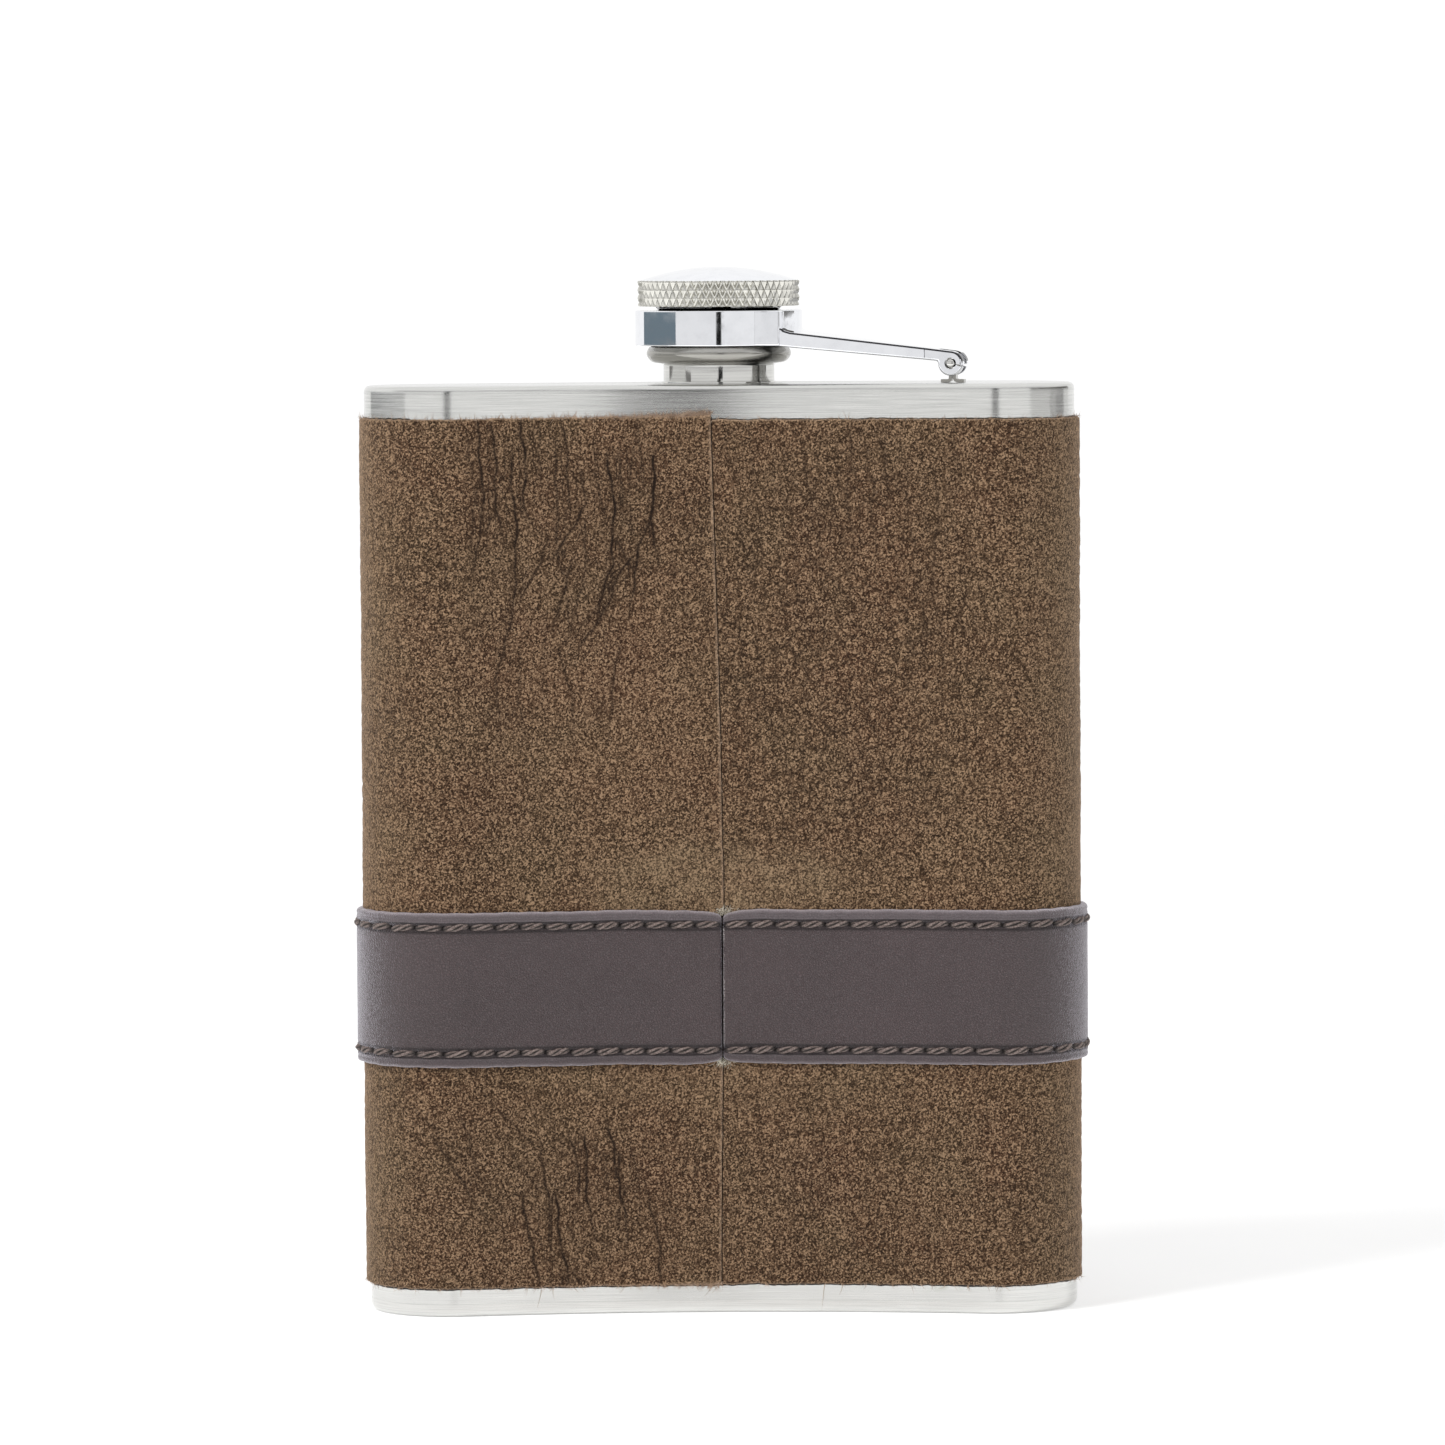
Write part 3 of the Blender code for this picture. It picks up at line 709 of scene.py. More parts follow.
def cap_core(material):
    """Plug with its thread, flange, stem, and the disc inside the head."""
    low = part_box("cap_core")[0].z - SHOULDER_Z
    flange_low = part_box("cap_gasket")[1].z - SHOULDER_Z + 0.1 * MM
    collar_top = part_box("captive_collar")[1].z - SHOULDER_Z
    head_low, disc_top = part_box("cap_head")[0].z - SHOULDER_Z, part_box("cap_core")[1].z - SHOULDER_Z
    plug, hollow, disc = 5.7 * MM, 4.2 * MM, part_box("cap_core")[1].x
    profile = rounded([
        (0, disc_top, 0), (disc, disc_top, 0.2 * MM), (disc, head_low + 0.1 * MM, 0.1 * MM),
        (8.57 * MM, head_low, 0.05 * MM), (8.1 * MM, collar_top, 0.1 * MM),
        (7.8 * MM, collar_top - 0.95 * MM, 0.1 * MM), (7.8 * MM, flange_low + 1.2 * MM, 0.1 * MM),
        (8.75 * MM, flange_low + 1.0 * MM, 0.15 * MM), (8.75 * MM, flange_low, 0.15 * MM),
        (plug, flange_low, 0), *thread_rows(plug, flange_low - 0.3 * MM, low + 0.7 * MM),
        (plug, low + 0.5 * MM, 0), (plug - 0.5 * MM, low, 0.1 * MM), (hollow, low, 0.1 * MM),
        (hollow, 7.6 * MM, 0.4 * MM), (0, 7.6 * MM, 0),
    ])
    shape = thread(low + 0.7 * MM, flange_low - 1.2 * MM, plug, 0.30 * MM, 0.7 * MM)
    lathe("cap_plug_and_stem", profile, 128, (0, MID_Y, SHOULDER_Z),
          (material, "cap", "polished_steel", "cap_core"), shape)


KNURLS = 60
KNURL_RISE = 2.15 * MM
KNURL_DEPTH = 0.40 * MM


def knurled(low, high, wall):
    """A shape for lathe: crossed right and left grooves that leave rows of diamonds."""
    def radius_of(angle, radius, height):
        turn, climb = angle * KNURLS / (2 * pi), (height - low) / KNURL_RISE
        depth = np.zeros_like(radius)
        for way in (turn + climb, turn - climb):
            groove = 1 - np.abs(2 * np.mod(way, 1) - 1)
            depth = np.maximum(depth, 0.5 + 0.5 * np.cos(pi * groove))
        on_wall = (height > low) & (height < high) & (radius > wall - 0.30 * MM)
        return np.where(on_wall, np.minimum(radius, wall - KNURL_DEPTH * depth), radius)
    return radius_of


def cap_head(material, wall_material):
    """A pressed head with a knurled side and a polished domed top."""
    low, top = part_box("cap_head")[0].z - SHOULDER_Z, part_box("cap_head")[1].z - SHOULDER_Z
    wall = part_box("cap_head")[1].x
    rim, shell, dome = top - 1.85 * MM, 0.6 * MM, 1.75 * MM
    dome_edge = wall - 0.50 * MM
    dome_r = (dome_edge**2 + dome**2) / (2 * dome)
    crown = [(dome_edge * t, top - dome_r + sqrt(dome_r**2 - (dome_edge * t) ** 2))
             for t in np.linspace(0, 1, 24)]
    side = [(wall, z) for z in np.linspace(rim - 0.12 * MM, low + 0.14 * MM, 38)]
    profile = np.array([
        *crown, (dome_edge + 0.12 * MM, rim + 0.05 * MM), (wall - 0.22 * MM, rim + 0.03 * MM),
        (wall - 0.10 * MM, rim), *side, (wall - 0.16 * MM, low), (wall - shell, low),
        (wall - shell, rim - shell + 0.1 * MM), (0, rim - shell + 0.1 * MM),
    ])
    obj = lathe("cap_head_knurled", profile, KNURLS * 16, (0, MID_Y, SHOULDER_Z),
                (material, "cap", "polished_steel", "cap_head"),
                knurled(low, rim + 0.02 * MM, wall), sharp=28)
    side_to = SHOULDER_Z + rim + 0.01 * MM
    add_material(obj, wall_material, lambda face: face.center.z < side_to)


def cap_gasket(material):
    low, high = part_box("cap_gasket")[0].z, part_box("cap_gasket")[1].z
    outer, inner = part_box("cap_gasket")[1].x, 5.8 * MM
    profile = rounded([(inner, high - low, 0.1 * MM), (outer, high - low, 0.3 * MM),
                       (outer, 0, 0.3 * MM), (inner, 0, 0.1 * MM)])
    lathe("cap_gasket_ring", profile, 96, (0, MID_Y, low),
          (material, "cap", "silicone", "cap_gasket"))


# Collar, arm and hinge. X runs from the hinge away from the cap, and Y along the pin.

KNUCKLE_R = 1.65 * MM
PIN_R = 0.55 * MM
PIN_BORE_R = 0.68 * MM
HINGE_HALF = 3.2 * MM
NOTCH_HALF = 1.25 * MM


def upright(mesh):
    """Turns a prism drawn in XY so that it stands in XZ, with its run along Y."""
    mesh.transform(Matrix.Rotation(pi / 2, 4, "X"))
    return mesh


def round_points(radius, start=0.0, stop=2 * pi, count=48, centre=(0, 0)):
    turns = np.linspace(start, stop, count, endpoint=abs(stop - start) < 2 * pi - 0.01)
    return [(centre[0] + radius * cos(t), centre[1] + radius * sin(t)) for t in turns]


def arm_outline(low):
    """The arm from the side: a tapering bar that runs on round the pin."""
    root_x, root_top = -ARM_LENGTH + 8.6 * MM, low + 1.9 * MM
    reach = sqrt(root_x**2 + root_top**2)
    slope = atan2(root_top, -root_x) - asin(KNUCKLE_R / reach)
    bow = [(root_x, root_top + 0.45 * MM), (root_x + 1.2 * MM, root_top + 0.45 * MM),
           (root_x + 1.5 * MM, root_top + 0.16 * MM), (root_x + 2.3 * MM, root_top - 0.10 * MM)]
    knuckle = round_points(KNUCKLE_R, pi / 2 - slope, -pi - slope + 0.12, 40)
    heel = (-1.70 * MM, 0.32 * MM)
    return [*bow, *knuckle, heel, (root_x, low)]


def round_cap(profile, steps=160):
    """A closed profile turned about the cap's axis."""
    profile = rounded(profile)
    points = lathe_grid(profile, steps, (-ARM_LENGTH, 0, 0))
    return mesh_of(points, quads(len(profile), steps, ring=True))


def slab(start, stop, half, low, high, edge=0.0):
    """A block from start to stop along X, and as wide as half to each side."""
    return prism([(start, -half), (stop, -half), (stop, half), (start, half)], low, high, edge)


def arm(low, high):
    """The arm and its knuckles, narrowed in plan towards the pin, with rounded edges."""
    bar = upright(prism(arm_outline(low), -12 * MM, 12 * MM))
    root, waist, tip = -ARM_LENGTH + 8.2 * MM, -2 * KNUCKLE_R, KNUCKLE_R + 1 * MM
    root_half, easing = 9.20 * MM, 0.30 * MM
    side = [(root, root_half), (waist - easing, HINGE_HALF + 0.04 * MM), (waist, HINGE_HALF),
            (tip, HINGE_HALF)]
    plan = prism([*[(x, -y) for x, y in side], *side[::-1]], low - 9 * MM, high + 9 * MM)
    mesh = combined(bar, ("INTERSECT", plan))
    with caged(mesh) as cage:
        bmesh.ops.dissolve_limit(cage, angle_limit=radians(1), verts=cage.verts, edges=cage.edges)
        bevel(cage, 0.27 * MM, profile=0.5)
    return mesh


def collar(material, arris):
    """Ring, block, arm and two knuckles: one casting."""
    low, high = [corner.z - PIN_CENTRE.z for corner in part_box("captive_collar")]
    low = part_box("neck")[1].z + 0.1 * MM - PIN_CENTRE.z
    radius = -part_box("captive_collar")[0].x
    edge = 0.16 * MM
    ring = round_cap([(0, high, 0), (radius, high, edge), (radius, low, edge), (0, low, 0)])
    web, hole, cavity = 0.95 * MM, 8.35 * MM, 9.2 * MM
    hollow = round_cap([(0, high + 1 * MM, 0), (hole + 1 * MM, high + 1 * MM, 0),
                        (hole + 0.12 * MM, high, 0), (hole, high - 0.12 * MM, 0),
                        (hole, high - web, 0), (cavity, high - web, 0.2 * MM),
                        (cavity, low - 1 * MM, 0), (0, low - 1 * MM, 0)])
    half, reach = 9.25 * MM, 9.6 * MM
    block = slab(-ARM_LENGTH, -ARM_LENGTH + reach, half, low, high, 0.22 * MM)
    notch = slab(-KNUCKLE_R - 0.15 * MM, 5 * MM, NOTCH_HALF, -6 * MM, 6 * MM)
    bore = upright(prism(round_points(PIN_BORE_R + 0.09 * MM), -12 * MM, 12 * MM))
    slit = upright(prism([(0.2 * MM, -0.02 * MM), (2.2 * MM, -0.75 * MM), (2.2 * MM, -0.30 * MM)],
                         -12 * MM, 12 * MM))
    casting = combined(ring, ("UNION", block), ("UNION", arm(low, high)), ("DIFFERENCE", hollow),
                       ("DIFFERENCE", notch), ("DIFFERENCE", bore), ("DIFFERENCE", slit))
    casting.transform(HINGE)
    obj = finish_piece("collar_casting", casting, material, "collar", "chrome", "captive_collar",
                       sharp=50, cast=True)
    arm_start, arm_top = CAP_AXIS.x + 8.0 * MM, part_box("neck")[1].z + 2.8 * MM

    # Painted reflection: the arm's sloping bevels get near-black steel, a dark line along the arm's edges
    def on_arris(face):
        on_arm = face.center.x > arm_start and face.center.z < arm_top
        return on_arm and 0.10 < face.normal.z < 0.86 and face.area < 4 * MM**2

    add_material(obj, arris, on_arris)


def bracket(material):
    """A steel strip folded round the pin, its legs side by side and its feet spread."""
    thick, leg, foot = 0.42 * MM, 0.27 * MM, 1.55 * MM
    loop_r = PIN_BORE_R + thick / 2 + 0.02 * MM
    floor = SHOULDER_Z - PIN_CENTRE.z + thick / 2 + 0.03 * MM
    start = atan2(-sqrt(loop_r**2 - leg**2), -leg) + 2 * pi
    loop = round_points(loop_r, start, start - 2 * pi + 2 * asin(leg / loop_r), 40)
    bend = 0.35 * MM
    left = [(-foot, floor), (-leg - bend, floor), (-leg - bend * 0.3, floor + bend * 0.3),
            (-leg, floor + bend)]
    right = [(-x, z) for x, z in reversed(left)]
    path = np.array([*left, *loop, *right])
    ahead = np.gradient(path, axis=0)
    ahead /= np.linalg.norm(ahead, axis=1, keepdims=True)
    side = np.stack([-ahead[:, 1], ahead[:, 0]], 1) * thick / 2
    strip = [*(path + side), *(path - side)[::-1]]
    mesh = upright(prism(strip, -1.1 * MM, 1.1 * MM, 0.05 * MM, 60))
    mesh.transform(HINGE)
    finish_piece("hinge_strip", mesh, material, "vessel", "chrome", "hinge_bracket", cast=True)


def pin(material):
    """A pin with slightly domed ends."""
    half = 3.28 * MM
    dome = [(PIN_R * sin(t), half - 0.16 * MM * (1 - cos(t)))
            for t in np.linspace(0, pi / 2, 7)]
    profile = np.array([*dome, *[(r, -y) for r, y in reversed(dome)]])
    points = lathe_grid(profile, 40, (0, 0, 0))
    mesh = mesh_of(points, quads(len(profile), 40, ring=True))
    mesh.transform(HINGE @ Matrix.Rotation(pi / 2, 4, "X"))
    finish_piece("hinge_pin_turned", mesh, material, "vessel", "chrome", "hinge_pin")


# Leather

CUT = [0.0, 0.05 * MM, 0.13 * MM, 0.26 * MM, 0.45 * MM]


def sheet(name, s, z, out, inner, attributes, material, slot, node):
    """A closed sheet of leather: its outer face through a grid of points, its inner face plain.
    The attributes are for its material."""
    rows, columns = s.shape
    outer = on_flask(s, z, out)
    lining = on_flask(s[[0, -1]], z[[0, -1]], inner)
    points = np.concatenate([outer.reshape(-1, 3), lining.reshape(-1, 3)])
    grid = np.arange(rows * columns).reshape(rows, columns)
    low, high = rows * columns + np.arange(columns), (rows + 1) * columns + np.arange(columns)

    def strip(a, b):
        return np.stack([a[:-1], a[1:], b[1:], b[:-1]], -1).tolist()

    faces = [*quads(rows, columns).tolist(), *strip(low, grid[0]), *strip(grid[-1], high),
             *strip(high, low), [*grid[::-1, 0], low[0], high[0]], [*grid[:, -1], high[-1], low[-1]]]
    obj = piece(name, points, faces, material, "vessel", slot, node, sharp=60, tidy=False)
    flat = np.stack([s, z, 0 * s], -1)
    flat = np.concatenate([flat.reshape(-1, 3), flat[[0, -1]].reshape(-1, 3)])
    layer = obj.data.attributes.new("flat", "FLOAT_VECTOR", "POINT")
    layer.data.foreach_set("vector", flat.astype(np.float32).ravel())
    for key, values in attributes.items():
        values = np.broadcast_to(values, s.shape)
        values = np.concatenate([values.ravel(), values[[0, -1]].ravel()])
        paint(obj, key, values)


def seam_at(z):
    """How far the leather's seam strays to +X at this height."""
    up = limited(z / SHOULDER_Z)
    return (-0.3 + 1.1 * np.sin(pi * up) ** 2 * np.where(up < 0.5, 0.6, 0.5) - 0.9 * up**3) * MM


def edge_shift(x):
    """How far the wrap's top and bottom edges stray upwards at this distance from the seam."""
    ragged = 0.10 * MM * noise_along(x, 3 * MM, 31) + 0.08 * MM * noise_along(x, 0.9 * MM, 32)
    lifted = 0.80 * MM * np.exp(x / (11 * MM)) + 0.25 * MM * limited(-x / (20 * MM))
    lifted = np.where(x < 0, lifted, -0.05 * MM)
    return lifted + ragged, -ragged - np.where(x < 0, 0.1 * MM, 0)


# Groups of creases, in mm: how many, where across, how high they start, how long, their lean, depth
FOLDS = [
    (16, (-33, -7), (112, 121), (10, 32), (-0.08, 0.10), 0.90),
    (7, (-24, -3), (98, 112), (8, 20), (-0.75, -0.25), 0.70),
    (8, (-30, -8), (85, 99), (8, 18), (-0.35, 0.12), 0.40),
    (6, (-43, -24), (22, 32), (9, 18), (0.40, 0.85), 0.50),
    (11, (-27, -7), (14, 26), (8, 20), (0.0, 0.25), 0.75),
    (13, (2, 34), (109, 120), (8, 24), (-0.10, 0.12), 0.42),
    (6, (6, 38), (12, 28), (6, 12), (-0.3, 0.3), 0.22),
]


def fold_strokes(rng, count, across, tops, lengths, lean, depth):
    """Wandering creases that run down the leather, some with a branch: each is its start, its
    length, its lean, its depth, and its wander's phases."""
    strokes = []
    step = (across[1] - across[0]) / count
    for n in range(count):
        x = (across[0] + step * (n + rng.uniform(0.1, 0.9))) * MM
        top, length = rng.uniform(*tops) * MM, rng.uniform(*lengths) * MM
        slope, deep = rng.uniform(*lean), depth * rng.uniform(0.25, 1.0)
        stroke = (x, top, length, slope, deep, rng.uniform(0, 2 * pi, 3))
        strokes.append(stroke)
        for _ in range(rng.integers(0, 3)):
            down = length * rng.uniform(0.2, 0.8)
            away = slope + rng.choice([-1, 1], p=[0.65, 0.35]) * rng.uniform(0.2, 0.75)
            strokes.append((stroke_at(stroke, down), top - down, length * rng.uniform(0.25, 0.55),
                            away, deep * 0.75, np.zeros(3)))
    return strokes


def stroke_at(stroke, down):
    """Where a crease has got to across the leather, that far down from its start."""
    x, _, _, slope, _, phases = stroke
    swing = sum(size * MM * (np.sin(2 * pi * down / (wave * MM) + phase) - sin(phase))
                for size, wave, phase in zip((0.42, 0.17, 0.10), (26, 9.5, 3.7), phases))
    return x + slope * down + swing


def nearest_fold(x, z, strokes):
    """The signed distance in millimetres from the nearest crease, and that crease's depth there."""
    distance, depth = np.full(x.shape, 9.0), np.zeros(x.shape)
    best = np.full(x.shape, 1e-4)
    for stroke in strokes:
        _, top, length, slope, deep, _ = stroke
        down = np.clip(top - z, -1 * MM, length + 1 * MM)
        away = (x - stroke_at(stroke, down)) / MM / sqrt(1 + slope**2)
        share = (top - z) / length
        here = deep * limited(1 + 8 * share) * limited(2.2 * (1 - share))
        weight = here * bell(away, 1.1)
        found = weight > best
        best = np.where(found, weight, best)
        distance, depth = np.where(found, away, distance), np.where(found, here, depth)
    return distance, depth


def leather_relief(x, z):
    """The wrap's relief in metres, and the fields that its material draws the creases from.
    x is the distance from the seam, positive towards the hinge."""
    rng = np.random.default_rng(71)
    strokes = [stroke for group in FOLDS for stroke in fold_strokes(rng, *group)]
    distance, depth = nearest_fold(x, z, strokes)
    valley = depth * bell(distance, 0.55)
    shoulders = depth * bell(np.abs(distance) - 1.15, 0.6)
    warp_x = x + 1.1 * MM * soft_noise(x, z, 8 * MM, 11) + 0.35 * MM * soft_noise(x, z, 2.4 * MM, 12)
    warp_z = z + 1.2 * MM * soft_noise(x, z, 9 * MM, 13) + 0.35 * MM * soft_noise(x, z, 2.6 * MM, 14)
    pebbled = 0.22 + 0.78 * patch(x, z, (15 * MM, 91 * MM), (23 * MM, 31 * MM))
    pebbled = np.maximum(pebbled, 0.45 + 0.45 * soft_noise(x, z, 26 * MM, 15))
    pebbled = pebbled * (1 - 0.8 * patch(x, z, (-20 * MM, 74 * MM), (20 * MM, 22 * MM)))
    pebbled = limited(pebbled * (0.85 + 0.55 * soft_noise(x, z, 6 * MM, 16))) * (1 - 0.7 * depth)
    rise = 0.10
    pebble = grain_borders((warp_x + rise * warp_z) / 0.92, (warp_z - rise * warp_x) / 1.05,
                           2.2 * MM, 22, 0.7)
    border = bell(pebble, 0.27)
    small = bell(grain_borders(warp_x, warp_z, 1.2 * MM, 23, 0.8), 0.3)
    height = -0.32 * MM * valley + 0.12 * MM * shoulders
    height -= 0.19 * MM * pebbled * border + 0.03 * MM * small
    height += 0.04 * MM * soft_noise(x, z, 5 * MM, 25) + 0.06 * MM * soft_noise(x, z, 17 * MM, 26)
    return height, {"fold": distance, "fold_depth": depth, "pebble": pebble, "pebbled": pebbled}


def graded(*runs):
    """Distances in runs of (from, to, step), joined end to end."""
    parts = [np.linspace(a, b, max(2, round((b - a) / step) + 1))[:-1] for a, b, step in runs]
    return np.concatenate([*parts, [runs[-1][1]]])


def wrap_wear_and_sheen(x, z, from_edge, from_end):
    """Where the wrap is lighter, from wear beside the band and from painted sheen on its rounded ends,
    and where its cut edges are pale, both from 0 to 1."""
    above = patch(x, z, (-1 * MM, BAND_HIGH + 3.5 * MM), (17 * MM, 5 * MM))
    below = patch(x, z, (4 * MM, BAND_LOW - 2 * MM), (26 * MM, 4 * MM))
    wear_and_sheen = limited(above + 0.35 * below)
    wear_and_sheen = wear_and_sheen * (0.60 + 0.5 * soft_noise(x, z, 3.5 * MM, 34))
    # Painted sheen: lighter on the rounded ends, where light grazes the leather
    painted_side_sheen = limited((np.abs(x) - LEGS[0][0] - 5 * MM) / (9 * MM))
    painted_side_sheen = painted_side_sheen * (np.abs(x) < GIRTH / 4 + 4 * MM)
    near_seam = np.exp(-np.abs(x) / (9 * MM))
    width = (0.16 + 0.30 * near_seam * (x < 0)) * MM
    edge = limited(1.3 - from_edge / width) * (0.45 + 0.55 * near_seam)
    seam = limited(1.4 - from_end / (0.32 * MM)) * 0.95 * (x < 0)
    seam = seam * (0.6 + 0.6 * noise_along(z, 3 * MM, 35))
    return limited(np.maximum(wear_and_sheen, 0.5 * painted_side_sheen)), limited(np.maximum(edge, seam))


def leather_wrap(material):
    """One nubuck sheet round the steel. Its ends meet in a butt seam down the back. The grid is
    finer on the back, where the creases are, and coarser in front and under the band."""
    low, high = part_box("leather_wrap")[0].z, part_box("leather_wrap")[1].z
    gap, thick, inner = 0.09 * MM, 0.62 * MM, 0.08 * MM
    length, height = GIRTH - gap, high - low
    fine = LEGS[0][0] + 13 * MM
    ends = np.array(CUT)
    along = graded((CUT[-1], fine, 0.38 * MM), (fine, length - fine, 0.90 * MM),
                   (length - fine, length - CUT[-1], 0.38 * MM))
    along = np.concatenate([ends[:-1], along, length - ends[-2::-1]])
    hidden = BAND_LOW - low + 1 * MM, BAND_HIGH - low - 1 * MM
    up = graded((CUT[-1], hidden[0], 0.44 * MM), (*hidden, 1.2 * MM),
                (hidden[1], height - CUT[-1], 0.44 * MM))
    up = np.concatenate([ends[:-1], up, height - ends[-2::-1]])
    along, up = np.meshgrid(along, up)
    from_end = np.minimum(along, length - along)
    x = np.where(along < GIRTH / 2, along, along - GIRTH)
    share = up / height
    top_shift, bottom_shift = edge_shift(x)
    z = low + up + top_shift * share**6 + bottom_shift * (1 - share) ** 6
    wander = 0.05 * MM * noise_along(z, 2.5 * MM, 33) * np.exp(-from_end / (1 * MM))
    s = along + gap / 2 + seam_at(z) + wander
    behind_band = (z > BAND_LOW + 0.5 * MM) & (z < BAND_HIGH - 0.5 * MM)
    # Painted shade on the wrap where it shows through the band's joint
    shade_under_joint = behind_band & (np.minimum(np.mod(s, GIRTH), GIRTH - np.mod(s, GIRTH)) < 0.5 * MM)
    relief, fields = leather_relief(x, z)
    from_edge = np.minimum(up, height - up)
    border = np.minimum(from_edge, from_end + 0.02 * MM)
    out = inner + thick * np.sqrt(1 - limited(1 - border / (0.30 * MM)) ** 2)
    settled = limited(border / (0.6 * MM))
    out = out + (relief + 0.02 * MM) * settled
    curl = bell(from_end - 0.5 * MM, 0.5 * MM)
    out = out + 0.10 * MM * curl * np.where(x < 0, 1.0, 0.3) * limited((z - 60 * MM) / (50 * MM))
    wear_and_sheen, raw = wrap_wear_and_sheen(x, z, from_edge, from_end)
    # The gap field is painted shade: in the open seam and under the band's joint
    fields |= {"wear_and_sheen": wear_and_sheen, "raw": raw,
               "gap": np.maximum(limited(1 - from_end / (0.05 * MM)), shade_under_joint)}
    for key in ("fold_depth", "pebbled"):
        fields[key] = fields[key] * settled
    sheet("wrap_sheet", s, z, out, 0.06 * MM, fields, material, "nubuck", "leather_wrap")


def shade_strip_line(material):
    """A dark strip under the wrap, which shows in the seam and along the wrap's edges: painted shade
    there.
    """
    low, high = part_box("leather_wrap")[0].z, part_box("leather_wrap")[1].z
    s = np.linspace(0, GIRTH, 720, endpoint=False)
    x = np.where(s < GIRTH / 2, s, s - GIRTH)
    from_top_seam, from_low_seam = x - seam_at(high + 0 * x), x - seam_at(low + 0 * x)
    shown = (0.14 + 0.07 * noise_along(x, 6 * MM, 55)) * MM
    lifted = np.abs(from_top_seam + 20 * MM) < 20 * MM
    top = high + edge_shift(from_top_seam)[0] + np.where(lifted, -0.1 * MM, shown)
    bottom = low + edge_shift(from_low_seam)[1] - 1.5 * shown
    rows = [on_flask(s, z, out) for z, out in ((bottom, 0.012 * MM), (bottom, 0.045 * MM),
                                               (top, 0.045 * MM), (top, 0.012 * MM),
                                               (bottom, 0.012 * MM))]
    points = np.stack(rows)
    piece("shade_strip_line", points, quads(5, len(s), ring=True), material, "vessel", "nubuck")


STITCH_INSET = 1.95 * MM
STITCH_PITCH = 3.4 * MM
STITCHES = round(GIRTH / STITCH_PITCH)
FIRST_HOLE = 0.3 * MM
STITCH_STEP = (GIRTH - 2 * FIRST_HOLE) / STITCHES


def band_edge_highlight_and_chips(x, z, from_edge, from_end, upper):
    """Where the band's edges are pale, partly from their own finish and partly as painted highlight on
    the rounded edges, stronger on the upper edge; and where the edge at its joint is chipped.
    """
    raw = 0.95 * limited(1.25 - from_edge / (0.30 * MM))
    pale = 0.17 + 0.07 * np.cos(2 * pi * from_edge / (0.37 * MM))
    # Painted highlight: the upper edge's pale lines are stronger than the lower edge's
    pale = pale * np.where(upper, 1.0, 0.45)
    raw = np.maximum(raw, pale * limited((1.36 * MM - from_edge) / (0.14 * MM)))
    chip = (x > 0) * limited(1.3 - from_end / (0.20 * MM)) * (from_edge > 2.4 * MM)
    return raw, chip * limited(0.7 + 1.2 * noise_along(z, 2.5 * MM, 44))


def leather_band(material):
    """A smooth strip with stitched, slightly rolled edges and rounded corners at its joint."""
    height = BAND_HIGH - BAND_LOW
    gap, inner = 0.18 * MM, WRAP_OUT - 0.02 * MM
    thick = BAND_OUT - inner + 0.05 * MM
    along = spaced(GIRTH - gap, 0.36 * MM, CUT)
    edge_rows = [*CUT, 0.62 * MM, 0.80 * MM, 0.98 * MM, 1.15 * MM, 1.35 * MM, 1.55 * MM, 1.75 * MM,
                 1.95 * MM, 2.15 * MM, 2.35 * MM, 2.6 * MM, 2.9 * MM]
    up = spaced(height, 0.75 * MM, edge_rows)
    along, up = np.meshgrid(along, up)
    from_end = np.minimum(along, GIRTH - gap - along)
    from_edge = np.minimum(up, height - up)
    x = np.where(along < GIRTH / 2, along, along - GIRTH)
    corner = 0.9 * MM
    cut_back = corner * (1 - np.sqrt(1 - limited(1 - from_end / corner) ** 2))
    cut_back = 0.8 * cut_back + 0.42 * MM * bell(from_end, 2.4 * MM)
    hole = np.abs(np.mod(along - FIRST_HOLE + STITCH_STEP / 2, STITCH_STEP) - STITCH_STEP / 2)
    pull = 0.07 * MM * bell(hole, 0.9 * MM)
    wavy = 0.10 * MM * noise_along(x, 9 * MM, 41)
    share = up / height
    z = BAND_LOW + up + wavy + np.where(share < 0.5, 1, -1) * (cut_back + pull) * (
        limited(1 - from_edge / (2.5 * MM)))
    from_row = np.abs(from_edge - STITCH_INSET)
    border = np.minimum(from_edge, from_end + 0.03 * MM)
    out = inner + thick * np.sqrt(1 - limited(1 - border / (0.42 * MM)) ** 2)
    channel = bell(from_row, 0.50 * MM)
    dent = bell(hole, 0.34 * MM) * bell(from_row, 0.34 * MM)
    line = bell(from_edge - 0.86 * MM, 0.16 * MM)
    lip = bell(from_edge - 1.35 * MM, 0.3 * MM)
    out = out - 0.18 * MM * channel - 0.42 * MM * dent - 0.09 * MM * line + 0.03 * MM * lip
    out = out + 0.03 * MM * soft_noise(x, z, 11 * MM, 42) + 0.012 * MM * soft_noise(x, z, 2.6 * MM, 43)
    # The crease field is painted shade: in the holes, the channel, beside the stitches and in the edge
    # crease line
    beside = bell(from_row - 0.58 * MM, 0.13 * MM)
    crease = limited(1.0 * dent + 0.50 * channel + 1.0 * beside + 0.25 * line)
    raw, chip = band_edge_highlight_and_chips(x, z, from_edge, from_end, share > 0.5)
    fields = {"crease": crease, "raw": raw, "chip": chip}
    sheet("band_strip", along + gap / 2, z, out, inner, fields, material, "smooth_leather",
          "leather_band")


def ply_shade(points, paths, t):
    """How much painted shade each point of the thread gets: where a ply faces its neighbours, and at the
    holes.
    points go by stitch, ply, step and side, and paths are the middles of the plies."""
    ply_middle = paths[:, :, :, None]
    outward = ply_middle - points.mean((1, 3))[:, None, :, None]
    outward = outward / np.maximum(np.linalg.norm(outward, axis=-1, keepdims=True), 1e-9)
    facing = points - ply_middle
    facing = facing / np.linalg.norm(facing, axis=-1, keepdims=True)
    between = limited(0.75 - 1.3 * (outward * facing).sum(-1))
    at_hole = limited(1.25 - 7 * np.minimum(t, 1 - t))
    return np.maximum(between, at_hole[None, None, :, None])


